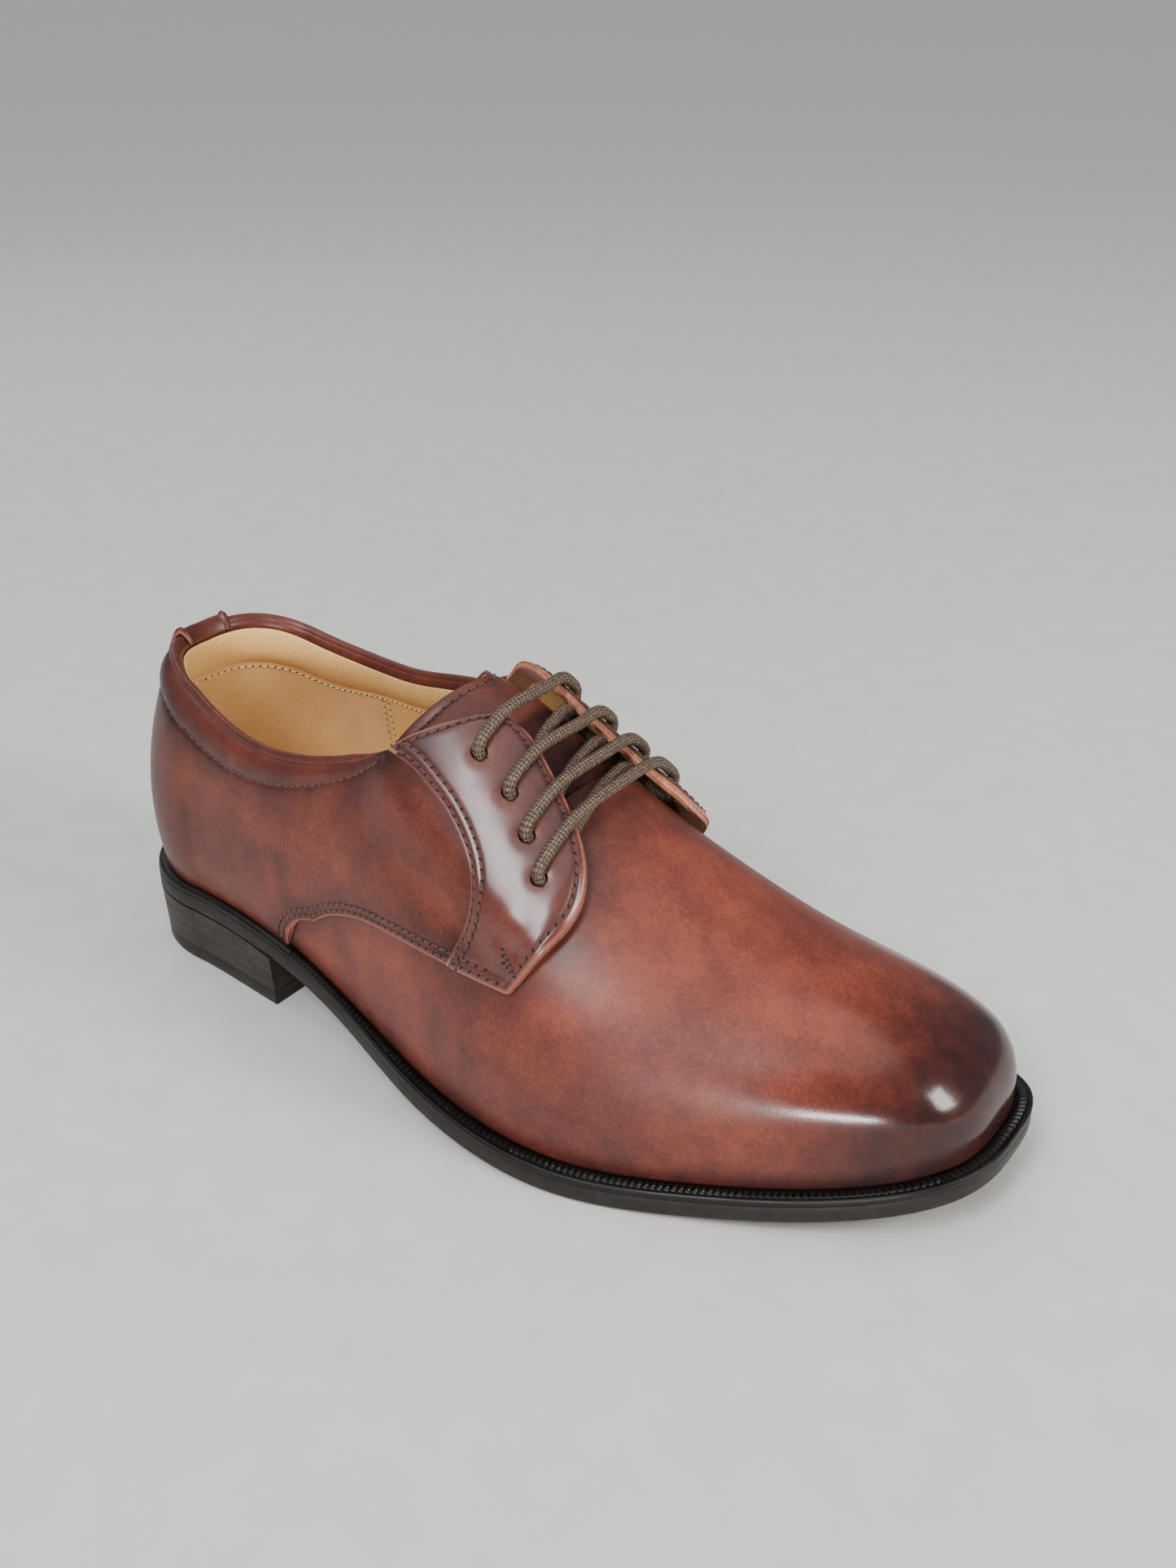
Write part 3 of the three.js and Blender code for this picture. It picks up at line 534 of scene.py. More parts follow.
def between(bottom, top, back, front, side):
    """The patch between four edges, blended so that each edge is met exactly."""
    corner = [bottom(0.0), bottom(1.0), top(0.0), top(1.0)]

    def place(u, v):
        low, high, near, far = bottom(u), top(u), back(v), front(v)
        pair = []
        for k in (0, 1):
            ruled = mix(low[k], high[k], v) + mix(near[k], far[k], u)
            flat = mix(mix(corner[0][k], corner[1][k], u), mix(corner[2][k], corner[3][k], u), v)
            pair.append(ruled - flat)
        return pair[0], pair[1], side

    return place


# ---- Materials ----
class Shader:
    """A material's node tree, built by naming nodes and what feeds them."""

    def __init__(self, name, **constants):
        self.material = bpy.data.materials.new(name)
        self.material.use_nodes = True
        self.tree = self.material.node_tree
        self.surface = self.tree.nodes["Principled BSDF"]
        self.place = self.tree.nodes.new("ShaderNodeTexCoord").outputs["Object"]
        for key, value in constants.items():
            self.surface.inputs[key.replace("_", " ")].default_value = value

    def node(self, kind, inputs, **settings):
        made = self.tree.nodes.new("ShaderNode" + kind)
        configure(made, settings)
        for key, value in inputs.items():
            if isinstance(value, bpy.types.NodeSocket):
                self.tree.links.new(value, made.inputs[key])
            else:
                made.inputs[key].default_value = value
        return made

    def noise(self, per_metre, detail=3.0, rough=0.5, warp=0.0, place=None):
        inputs = {"Vector": place or self.place, "Scale": per_metre, "Detail": detail, "Roughness": rough,
                  "Distortion": warp}
        return self.node("TexNoise", inputs).outputs["Fac"]

    def stretched(self, factors):
        return self.node("Mapping", {"Vector": self.place, "Scale": factors}).outputs["Vector"]

    def voronoi(self, per_metre, feature="F1"):
        made = self.node("TexVoronoi", {"Vector": self.place, "Scale": per_metre}, feature=feature)
        return made.outputs["Distance"]

    def attribute(self, name):
        return self.node("Attribute", {}, attribute_name=name).outputs["Fac"]

    def maths(self, what, a, b):
        return self.node("Math", {0: a, 1: b}, operation=what).outputs[0]

    def sum(self, *weighed, start=0.0):
        """The start and all values times their weights."""
        for value, weight in weighed:
            start = self.node("Math", {0: value, 1: weight, 2: start}, operation="MULTIPLY_ADD").outputs[0]
        return start

    def between(self, value, low, high, to_low, to_high):
        inputs = {"Value": value, "From Min": low, "From Max": high, "To Min": to_low, "To Max": to_high}
        return self.node("MapRange", inputs).outputs["Result"]

    def blend(self, factor, a, b):
        made = self.node("Mix", {0: factor, 6: a, 7: b}, data_type="RGBA")
        return made.outputs[2]

    def ramp(self, factor, stops):
        made = self.node("ValToRGB", {"Fac": factor})
        elements = made.color_ramp.elements
        while len(elements) < len(stops):
            elements.new(0.5)
        for element, (at, colour) in zip(elements, stops):
            element.position = at
            element.color = (*colour, 1)
        return made.outputs["Color"]

    def bump(self, height, strength, mm, over=None):
        inputs = {"Height": height, "Strength": strength, "Distance": mm * 0.001}
        if over is not None:
            inputs["Normal"] = over
        return self.node("Bump", inputs).outputs["Normal"]

    def set(self, **links):
        for key, socket in links.items():
            self.tree.links.new(socket, self.surface.inputs[key.replace("_", " ")])
        return self.material

    def two_tone(self, tone, grain, light, dark, rough, normal):
        """A colour between two tones, and a roughness between two values that follows the grain."""
        colour = self.ramp(tone, [(0.35, dark), (0.65, light)])
        return self.set(Base_Color=colour, Roughness=self.between(grain, 0.3, 0.7, *rough), Normal=normal)


def rgb(red, green, blue):
    """A linear colour from eight-bit screen values."""
    linear = lambda v: ((v / 255 + 0.055) / 1.055) ** 2.4 if v > 10 else v / 255 / 12.92
    return linear(red), linear(green), linear(blue)


def leather_with_burnish_and_shade(name, light, middle, dark, burnish_and_shade_colour, roughness, coat, coat_roughness, specular=0.25):
    """Smooth leather, darkened where it is burnished and where shade is painted on, smoother by "polish", and
    paler at its cut edges, partly with the edges' own colour and partly as a painted highlight along the rim.
    """
    shader = Shader(name, Coat_Weight=coat, Coat_Roughness=coat_roughness, Specular_IOR_Level=specular)
    cloud = shader.noise(24, 2.0, 0.5, 0.5)
    blotch = shader.noise(110, 4.0, 0.6, 0.2)
    speck = shader.noise(900, 4.0, 0.8)
    tone = shader.sum((cloud, 0.4), (blotch, 0.25), (speck, 0.35))
    colour = shader.ramp(tone, [(0.37, light), (0.5, middle), (0.63, dark)])
    wet = shader.sum((blotch, 0.9), start=0.5)
    # Darkens towards the burnish colour by a mask that holds real burnish and painted shade.
    colour = shader.blend(shader.maths("MULTIPLY", shader.attribute("burnish_and_shade"), wet), colour, (*burnish_and_shade_colour, 1))
    # Paler colour over the outer millimetre at the cut edges: partly the edge's own colour, partly a painted
    # highlight along the rounded rim.
    raw_and_lit_rim = shader.blend(speck, (*rgb(112, 56, 44), 1), (*rgb(152, 86, 66), 1))
    colour = shader.blend(shader.attribute("raw_edge_and_rim_highlight"), colour, raw_and_lit_rim)
    pores = shader.bump(shader.voronoi(1500), 0.07, 0.12)
    creases = shader.bump(shader.noise(420, 4.0, 0.6), 0.05, 0.25, pores)
    rough = shader.between(shader.attribute("polish"), 0, 1, roughness, 0.17)
    return shader.set(Base_Color=colour, Roughness=rough, Normal=creases)


def fuzzy(name, light, dark, sheen):
    shader = Shader(name, Sheen_Weight=sheen, Sheen_Roughness=0.5, Specular_IOR_Level=0.15)
    nap = shader.noise(1700, 4.0, 0.75)
    tone = shader.sum((shader.noise(60, 3.0), 0.4), (nap, 0.6))
    return shader.two_tone(tone, nap, light, dark, (0.82, 0.97), shader.bump(nap, 0.35, 0.25))


def rubber(name, light, dark, roughness):
    shader = Shader(name, Specular_IOR_Level=0.3)
    mottle = shader.noise(220, 5.0, 0.65)
    scuffs = shader.noise(30, 6.0, 0.7, 0.4, shader.stretched((1, 1, 9)))
    colour = shader.ramp(mottle, [(0.35, dark), (0.7, light)])
    rough = shader.between(scuffs, 0.35, 0.65, roughness - 0.08, roughness + 0.12)
    fine = shader.bump(shader.noise(2400, 3.0), 0.12, 0.08)
    return shader.set(Base_Color=colour, Roughness=rough, Normal=shader.bump(scuffs, 0.08, 0.2, fine))


def thread(name, light, dark):
    shader = Shader(name, Sheen_Weight=0.2, Specular_IOR_Level=0.3)
    fibre = shader.noise(2600, 2.0, 0.6, 0.0, shader.stretched((1, 1, 0.3)))
    return shader.two_tone(fibre, fibre, light, dark, (0.5, 0.75), shader.bump(fibre, 0.4, 0.1))


def waxed_braid(name, light, middle, dark):
    """A braid seen along its own UVs: across the cord in turns, along it in millimetres."""
    shader = Shader(name, Specular_IOR_Level=0.35, Coat_Weight=0.12, Coat_Roughness=0.45)
    uv = shader.tree.nodes["Texture Coordinate"].outputs["UV"]
    split = shader.node("SeparateXYZ", {0: uv})
    turn, along = split.outputs[0], split.outputs[1]
    strands = []
    for lean in (1, -1):
        phase = shader.sum((turn, BRAID_LOBES), (along, lean * BRAID_TURN))
        wave = shader.maths("MULTIPLY", phase, 2 * math.pi)
        strands.append(shader.node("Math", {0: wave}, operation="SINE").outputs[0])
    weave = shader.maths("MULTIPLY", strands[0], strands[1])
    fleck = shader.noise(1500, 4.0, 0.8)
    # Colour follows the weave as the bump does, lighter where the strands rise and darker in the grooves
    # between them: painted light and shade of the braid, over random flecks.
    tone = shader.sum((weave, 0.16), start=fleck)
    colour = shader.ramp(tone, [(0.36, dark), (0.52, middle), (0.72, light)])
    rough = shader.between(fleck, 0.3, 0.7, 0.5, 0.8)
    return shader.set(Base_Color=colour, Roughness=rough, Normal=shader.bump(tone, 0.5, 0.22))


def plain(name, light, dark, roughness, per_metre=500, bump=0.2, **constants):
    shader = Shader(name, **constants)
    grain = shader.noise(per_metre, 4.0, 0.65)
    rough = (roughness - 0.06, roughness + 0.06)
    return shader.two_tone(grain, grain, light, dark, rough, shader.bump(grain, bump, 0.15))


BRAID_LOBES = 6  # strands seen round the lace
BRAID_TURN = 0.42  # turns of the braid for each millimetre, times the lobes

LEATHER = leather_with_burnish_and_shade("burgundy_leather", rgb(126, 60, 43), rgb(96, 43, 33), rgb(64, 29, 24),
                            rgb(40, 17, 15), 0.42, 0.28, 0.28)
POLISHED = leather_with_burnish_and_shade("polished_vamp_leather", rgb(132, 62, 43), rgb(102, 45, 34), rgb(68, 30, 25),
                             rgb(38, 15, 14), 0.48, 0.1, 0.25, 0.42)
GLOSSY = leather_with_burnish_and_shade("facing_leather", rgb(122, 60, 47), rgb(96, 44, 36), rgb(68, 30, 27),
                           rgb(38, 16, 15), 0.34, 0.9, 0.26)
CUT_EDGE = plain("cut_leather_edge", rgb(196, 130, 102), rgb(150, 86, 66), 0.7, 900)
DYED_EDGE = plain("dyed_leather_edge", rgb(142, 80, 62), rgb(100, 52, 42), 0.6, 900)
FLAP_EDGE = {LATERAL: DYED_EDGE, MEDIAL: CUT_EDGE}
FLESH = fuzzy("leather_flesh_side", rgb(168, 118, 84), rgb(128, 84, 58), 0.1)
SUEDE = fuzzy("suede_lining", rgb(226, 182, 122), rgb(200, 152, 94), 0.25)
SMOOTH_LINING = plain("smooth_lining", rgb(234, 190, 122), rgb(214, 166, 98), 0.55, 1300, 0.15)
SOCK = plain("sock_leather", rgb(222, 178, 112), rgb(200, 154, 92), 0.6, 1000, 0.2)
PAD = plain("heel_pad_leather", rgb(240, 200, 124), rgb(222, 178, 104), 0.55, 1000, 0.2)
SOLE = rubber("sole_rubber", rgb(38, 31, 27), rgb(24, 19, 16), 0.45)
WELT = rubber("welt_rubber", rgb(20, 16, 15), rgb(10, 8, 8), 0.38)
HEEL = rubber("heel_rubber", rgb(52, 43, 36), rgb(34, 28, 23), 0.48)
THREAD = thread("burgundy_thread", rgb(92, 48, 38), rgb(62, 30, 25))
CREAM_THREAD = thread("cream_thread", rgb(248, 224, 164), rgb(214, 176, 110))
# Near-black discs set into the needle holes: painted shade for the holes' dark insides.
HOLE_SHADE = plain("needle_hole_shade", rgb(16, 8, 7), rgb(8, 4, 4), 0.9)
LACE = waxed_braid("waxed_lace", rgb(136, 114, 92), rgb(78, 61, 48), rgb(38, 28, 23))
AGLET = plain("aglet_plastic", rgb(84, 62, 46), rgb(52, 36, 27), 0.25, 300, 0.05, Coat_Weight=0.4)
STEEL = plain("dull_steel", rgb(170, 172, 176), rgb(140, 142, 146), 0.38, 300, 0.1, Metallic=1.0)
BOARD = plain("fibre_board", rgb(186, 162, 126), rgb(150, 124, 90), 0.9, 700, 0.4)
CORK = plain("ground_cork", rgb(190, 138, 84), rgb(96, 62, 36), 0.9, 400, 0.6)
PALE_FLOOR = plain("pale_floor", rgb(208, 206, 202), rgb(202, 200, 196), 0.8, 60, 0.05)


# ---- Camera, light and floor ----
def point_camera():
    """The camera stands at the photograph's viewing angle, a little above the shoe, off its outer front."""
    azimuth, elevation, roll = (math.radians(angle) for angle in CAMERA_ANGLES)
    level = math.cos(elevation)
    back = Vector((math.sin(azimuth) * level, -math.cos(azimuth) * level, math.sin(elevation)))
    right = Vector((math.cos(azimuth), math.sin(azimuth), 0))
    up = back.cross(right)
    across = right * math.cos(roll) + up * math.sin(roll)
    upright = up * math.cos(roll) - right * math.sin(roll)
    data = bpy.data.cameras.new("photo_camera")
    data.sensor_width = 36
    data.lens = CAMERA_LENS
    data.clip_start, data.clip_end = 0.01, 200
    camera = add("photo_camera", data)
    turn = Matrix((across, upright, back)).transposed().to_4x4()
    camera.matrix_world = Matrix.Translation(CAMERA_PLACE) @ turn
    bpy.context.scene.camera = camera


def add_light(kind, name, direction, place=(0, 0, 0), **settings):
    data = bpy.data.lights.new(name, kind)
    configure(data, settings)
    light = add(name, data)
    light.location = place
    light.rotation_mode = "QUATERNION"
    light.rotation_quaternion = Vector(direction).to_track_quat("-Z", "Y")


def soft_light(name, place, target, size, watts, colour=(1, 1, 1)):
    add_light("AREA", name, Vector(target) - Vector(place), place, shape="RECTANGLE", size=size[0],
              size_y=size[1], energy=watts, color=colour)


def set_studio():
    soft_light("window", (1.35, 0.14, 0.72), (0.1, 0, 0.04), (0.4, 0.66), 18, (1.0, 1.0, 0.93))
    soft_light("outer_key", (0.12, -1.2, 1.33), (0, 0, 0.06), (0.42, 0.9), 25, (0.97, 0.98, 1.0))
    soft_light("toe_fill", (0.85, -1.24, 0.14), (0.1, 0, 0.03), (0.42, 0.14), 11)
    soft_light("heel_fill", (-1.1, 0.5, 0.9), (-0.1, 0, 0.05), (0.7, 0.7), 1.5)
    add_light("SUN", "ceiling", (0.15, 0.1, -1), energy=1.15, angle=math.radians(70))
    world = bpy.data.worlds.new("pale_room")
    world.use_nodes = True
    background = world.node_tree.nodes["Background"]
    background.inputs["Color"].default_value = (0.82, 0.86, 0.92, 1)
    background.inputs["Strength"].default_value = 0.36
    bpy.context.scene.world = world


def lay_floor():
    mesh = bpy.data.meshes.new("floor")
    signs = ((-1, -1), (1, -1), (1, 1), (-1, 1))
    mesh.from_pydata([(x * FLOOR_REACH, y * FLOOR_REACH, FLOOR_LEVEL) for x, y in signs], [], [(0, 1, 2, 3)])
    mesh.materials.append(PALE_FLOOR)
    add("floor", mesh)


# ---- Seams ----
SHARES = np.linspace(0, 1, 260)
COLLAR_DROP = spline([(0, 0.074), (24, 0.075), (37, 0.083), (46, 0.08), (59, 0.069), (74, 0.056), (87, 0.046),
                      (99, 0.037), (110, 0.029), (118, 0.019), (124, 0.011)])
facing_top = {side: [pairs[-1], FACING_SHOULDER[side], FACING_TIP] for side, pairs in TOPLINE.items()}
free_edge = {side: [*FACING_FRONT, *facing_top[side][1::-1]] for side in TOPLINE}
eyestay_back = {side: [*EYESTAY_BACK[:-1], (124, pairs[-1][1])] for side, pairs in TOPLINE.items()}


def lines_of(side):
    """The cut edges and the stitched lines of one side, as (s, t) arrays."""
    swing, back, free = (edge(pairs)(SHARES) for pairs in (SWING, eyestay_back[side], free_edge[side]))
    collar_s = np.linspace(7, 122, 200)
    return {
        "swing_edge": swing,
        "back_edge": back,
        "free_edge": free,
        "swing_low": beside(swing, side, 1.8),
        "swing_high": beside(swing, side, 3.9),
        "free": beside(free, side, 1.9),
        "back_near": beside(back, side, -1.3),
        "back_far": beside(back, side, -3.6),
        "collar": (collar_s, topline_t[side](collar_s) - COLLAR_DROP(collar_s)),
    }


LINES = {side: lines_of(side) for side in TOPLINE}


def spot(s, t, side):
    """Where a place lies in space on the outside of the upper."""
    return on_last(s, t, side, QUARTER[1] + flap_rise(s, t))


def to_line(s, t, side, name):
    """Distance from places on the upper to the named line of their own side."""
    points = spot(s, t, side)
    made = np.full(points.shape[:-1], np.inf)
    for one, lines in LINES.items():
        at = np.asarray(side) == one
        if at.any():
            made[at] = away(points[at], spot(*lines[name], one))
    return made


def collar_swell(s, t, side):
    """The padded band between the collar seam and the topline, rolled inward at its top."""
    share = np.clip((t - top_at(s, side) + COLLAR_DROP(s)) / COLLAR_DROP(s), 0, 1)
    amount = 1.15 * smooth(s, 122, 96) * (0.35 + 0.65 * smooth(s, 8, 18))
    return amount * np.sin(math.pi * share**0.75) ** 0.7 - 0.8 * share**6 * smooth(s, 122, 108)


# Place, height and width of each pucker at the foot of the flap.
PUCKERS = [((179.5, 0.553), -0.75, 3.4), ((174.5, 0.525), 0.5, 3.4), ((176.0, 0.60), 0.35, 4.5),
           ((184.0, 0.61), -0.3, 3.0), ((187.0, 0.66), 0.25, 3.0), ((181.5, 0.515), 0.25, 2.4)]


def facing_bumps(s, t, side):
    """Dimples at the eyelets and small puckers at the foot of the lacing flap."""
    points = spot(s, t, side)
    from_spot = lambda place: np.linalg.norm(points - spot(*place, side), axis=-1)
    made = np.zeros(points.shape[:-1])
    for eyelet in EYELETS:
        distance = from_spot(eyelet)
        made += 0.08 * hump(distance - 5.0, 2.4) - 0.5 * hump(distance, 2.5)
    for place, height, width in PUCKERS:
        made += height * hump(from_spot(place), width)
    return made * smooth(s, 138, 148)


def worn(s, t, side, name, width):
    """1 at a named cut edge, falling to 0 at the given distance from it."""
    return 1 - smooth(to_line(s, t, side, name), 0.35 * width, width)


# How deep and how wide each seam presses into the leather, and each cut edge is worn away.
QUARTER_SEAMS = {"swing_low": (0.2, 0.8), "swing_high": (0.2, 0.8), "collar": (0.5, 1.0)}
QUARTER_EDGES = {"swing_edge": (0.75, 1.3)}
EYESTAY_SEAMS = {"free": (0.22, 0.8), "back_near": (0.2, 0.7), "back_far": (0.2, 0.7),
                 "swing_low": (0.2, 0.8), "swing_high": (0.2, 0.8)}
EYESTAY_EDGES = {"back_edge": (1.0, 1.8), "free_edge": (0.6, 1.1), "swing_edge": (0.6, 1.2)}


def pressed(out, s, t, side, seams, edges):
    for name, (depth, width) in seams.items():
        out = out - depth * hump(to_line(s, t, side, name), width)
    for name, (depth, width) in edges.items():
        out = out - depth * worn(s, t, side, name, width)
    return out


def quarter_out(s, t, side):
    out = QUARTER[1] + flap_rise(s, t) + collar_swell(s, t, side) + facing_bumps(s, t, side)
    return pressed(out, s, t, side, QUARTER_SEAMS, QUARTER_EDGES)


def eyestay_out(s, t, side):
    out = EYESTAY[1] + flap_rise(s, t) + facing_bumps(s, t, side)
    return pressed(out, s, t, side, EYESTAY_SEAMS, EYESTAY_EDGES)


def burnish_and_shade(s, t, side, names=()):
    """How dark the leather is made: burnished at the toe, the heel and beside the named seams, darker towards
    the sole's edge, and darkened over the instep as painted shade under the lacing flaps.
    """
    dark = 0.95 * smooth(s, 248, 288) + 0.7 * smooth(s, 80, 0)
    dark = dark + 0.55 * smooth(t, 0.13, 0) * smooth(s, 40, 110)
    for name in names:
        dark = dark + 0.5 * hump(to_line(s, t, side, name), 6.5)
    # Painted shade: darker over the instep behind station 205, for the vamp in the lacing gap under the
    # flaps; the flaps and quarters there darken too.
    return np.clip(dark + 0.25 * smooth(s, 205, 180) * smooth(t, 0.4, 0.8), 0, 1)


# ---- Stitches ----
def thread_template(length, radius):
    along = np.array([-0.5, -0.42, -0.2, 0.2, 0.42, 0.5]) * length
    scale = np.array([0.35, 0.8, 1, 1, 0.8, 0.35]) * radius
    height = np.array([-0.35, -0.05, 0.18, 0.18, -0.05, -0.35]) * radius * 1.6
    ring = circle((0, 1, 0), (0, 0, 1), 6)
    return tube(np.stack([ring * r + (a, 0, h) for a, r, h in zip(along, scale, height)]))


def hole_template(long, short):
    ring = circle((long, 0, 0), (0, short, 0), 8)
    return tube(np.stack([ring - (0, 0, 0.25), ring, ring * 0.6 + (0, 0, 0.07)]))


def stitch_row(line, side, height, pitch=STITCH_PITCH, trim=(0, 0), inward=False, radius=THREAD_RADIUS):
    """Threads, and near-black discs painted as shade in the needle holes, along a line of places, on the
    surface at the given height.
    """
    s, t = (np.asarray(v, float) for v in line)
    side = np.full_like(s, side)
    out = height(s, t, side)
    points = on_last(s, t, side, out)
    normals = directions(s, t, side, out)[2] * (-1 if inward else 1)
    run = run_of(points)
    count = int((run[-1] - sum(trim)) / pitch)
    marks = trim[0] + np.arange(count + 1) * pitch
    normal_at = lambda at: np.stack([np.interp(at, run, normals[:, k]) for k in range(3)], -1)

    def axes(at, lean):
        along = unit(resample(points, at + pitch / 3) - resample(points, at - pitch / 3))
        normal = normal_at(at)
        normal = unit(normal - (normal * along).sum(1, keepdims=True) * along)
        leaned = along * math.cos(lean) + np.cross(normal, along) * math.sin(lean)
        return np.stack([leaned, np.cross(normal, leaned), normal], 1)

    middles = marks[:-1] + pitch / 2
    template, faces = thread_template(pitch * 0.86, radius)
    threads = many(template, faces, resample(points, middles), axes(middles, 0.12))
    # A near-black disc at each needle hole: painted shade.
    template, faces = hole_template(radius * 1.9, radius * 1.2)
    holes = many(template, faces, resample(points, marks), axes(marks, 0.4))
    return threads, holes


def sew(name, rows, thread_material, slot, body="shoe"):
    """All the threads of an area as one piece, and all the near-black discs painted as shade in its needle
    holes as another.
    """
    threads, holes = zip(*rows)
    Piece(f"{name}_threads", joined(*threads), thread_material, slot, body=body).done()
    Piece(f"{name}_needle_hole_shades", joined(*holes), HOLE_SHADE, slot, body=body).done()


# ---- Upper ----
def ridge_rows(n):
    """Profile values and sides from the outer sole edge, over the ridge, to the inner sole edge."""
    p = np.linspace(-1, 1, n)
    t = 1 - np.abs(p)
    t[[0, -1]] = SOLE_TUCK_T
    return t, np.where(p < 0, LATERAL, MEDIAL)


def toe_stations(n, end=0.9993):
    f = np.linspace(0, 1, n)
    return TOE_START + (TOE_X - TOE_START) * (1 - (1 - f * end) ** 3)


def fore_grid(back_edge, rows, joints, toe):
    """Places from a back edge to the tip of the toe."""
    t, side = ridge_rows(rows)
    back = back_edge(np.maximum(t, 0))
    body = mix(back[:, None], TOE_START, np.linspace(0, 1, joints)[None, :-1])
    s = np.concatenate([body, np.repeat(toe_stations(toe)[None], rows, 0)], 1)
    return s, np.repeat(t[:, None], s.shape[1], 1), np.repeat(side[:, None], s.shape[1], 1)


def make_vamp():
    vamp_back = spline([(t, s) for s, t in VAMP_BACK])
    grid = fore_grid(vamp_back, 171, 110, 60)
    s, t, side = grid
    sag = 0.10 * np.sin(0.075 * s + 1.1) * np.sin(4.2 * t * side + 0.6)
    sag = sag * smooth(t, 0, 0.2) * smooth(s, 285, 255)
    tint = burnish_and_shade(s, t, side)
    points = spot(s, t, side)
    # Painted shade: the vamp darkens within a few millimetres of the quarters' swing edges and the flaps'
    # free edges, which overhang it.
    for one in (LATERAL, MEDIAL):
        lines = [spot(*edge(pairs)(SHARES), one) for pairs in (SWING, FACING_FRONT)]
        near = np.minimum(*(away(points, line) for line in lines))
        tint = np.clip(tint + 0.42 * hump(near, 7), 0, 1)
    sheet("vamp_leather", grid, (VAMP[0] + sag, VAMP[1] + sag), [POLISHED, CUT_EDGE, FLESH], "upper_leather",
          ["vamp"], paints={"burnish_and_shade": tint, "polish": smooth(s, 225, 262) * smooth(t, 0.02, 0.3)}).done()


def make_vamp_lining():
    back = lambda t: mix(mix(100, 150, np.clip(t / 0.55, 0, 1)), 192, smooth(t, 0.5, 0.62))
    sheet("vamp_textile_lining", fore_grid(back, 81, 40, 24), LINING, [SMOOTH_LINING, SMOOTH_LINING, SUEDE],
          "lining_leather", ["vamp_lining"]).done()


def eyelet_holes(piece, side, inner, outer):
    """Cuts the punched eyelets through a panel of the lacing flap."""
    bars = []
    for s, t in EYELETS:
        rise = flap_rise(s, t)
        low = on_last(s, t, side, inner + rise - 2.5)
        high = on_last(s, t, side, outer + rise + 2.5)
        axis = unit(high - low)
        first = unit(np.cross(axis, (1, 0, 0)))
        ring = EYELET_RADIUS * circle(first, np.cross(axis, first), 24)
        bars.append(tube(np.stack([low + ring, high + ring])))
    punch = Piece("punch", joined(*bars), CUT_EDGE, "upper_leather")
    piece.modify("BOOLEAN", operation="DIFFERENCE", object=punch.object, solver="EXACT")
    bpy.data.objects.remove(punch.object)


def make_quarter(side):
    name = SIDE_NAMES[side]
    topline = TOPLINE[side]
    straight = lambda u: (mix(BACK_S, SWING[0][0], u), 0 * u)
    bottom = chain(straight, edge(SWING), 0.45)
    top = chain(edge(topline), edge(facing_top[side]), 0.8)
    back = lambda v: (BACK_S + 0 * v, topline[0][1] * v)
    place = between(bottom, top, back, edge(FACING_FRONT), side)
    low_rows, top_rows = [0, 0.003, 0.007, 0.012, 0.018, 0.025], [0.988, 0.996, 1]
    rows = np.concatenate([low_rows, np.linspace(0.034, 0.976, 80), top_rows])
    s, t, where = grid_of(place, np.linspace(0, 1, 221), rows)
    t = np.where((t < 1e-6) & (s < SWING[0][0] + 0.5), SOLE_TUCK_T, t)
    out = quarter_out(s, t, where)
    inner = QUARTER[0] + flap_rise(s, t) + facing_bumps(s, t, where)
    # Burnish beside the collar and swing seams, with the painted instep shade of the darkening mask.
    tint = burnish_and_shade(s, t, where, ("collar", "swing_high", "back_near"))
    # Paler along the swing edge: cut-edge colour and a painted rim highlight.
    raw_and_lit_rim = worn(s, t, where, "swing_edge", 1.0)
    made = sheet(f"quarter_leather_{name}", (s, t, where), (inner, out), [LEATHER, FLAP_EDGE[side], FLESH],
                 "upper_leather", [f"quarter_{name}"], paints={"burnish_and_shade": tint, "raw_edge_and_rim_highlight": raw_and_lit_rim})
    eyelet_holes(made, side, *QUARTER)
    made.done()


def make_eyestay(side):
    name = SIDE_NAMES[side]
    first, last = EYESTAY_BACK[0], SWING[-1]
    bottom = lambda u: tuple(mix(first[k], last[k], u) for k in (0, 1))
    place = between(bottom, edge(facing_top[side]), edge(eyestay_back[side]), edge(FACING_FRONT), side)
    back_columns, front_columns = [0, 0.007, 0.016, 0.027], [0.973, 0.984, 0.993, 1]
    columns = np.concatenate([back_columns, np.linspace(0.045, 0.955, 74), front_columns])
    rows = np.concatenate([[0, 0.005, 0.014], np.linspace(0.026, 0.974, 104), [0.986, 0.995, 1]])
    s, t, where = grid_of(place, columns, rows)
    out = eyestay_out(s, t, where)
    inner = EYESTAY[0] + flap_rise(s, t) + facing_bumps(s, t, where)
    # Burnish beside the flap seams, with the painted instep shade of the darkening mask, three quarters as
    # strong.
    tint = 0.75 * burnish_and_shade(s, t, where, ("free", "back_far"))
    # Paler along the free and swing edges: cut-edge colour and a painted rim highlight.
    raw_and_lit_rim = np.maximum(worn(s, t, where, "free_edge", 0.8), worn(s, t, where, "swing_edge", 0.9))
    made = sheet(f"eyestay_leather_{name}", (s, t, where), (inner, out), [GLOSSY, FLAP_EDGE[side], FLESH],
                 "facing_leather", [f"eyestay_{name}"], paints={"burnish_and_shade": tint, "raw_edge_and_rim_highlight": raw_and_lit_rim})
    eyelet_holes(made, side, *EYESTAY)
    made.done()


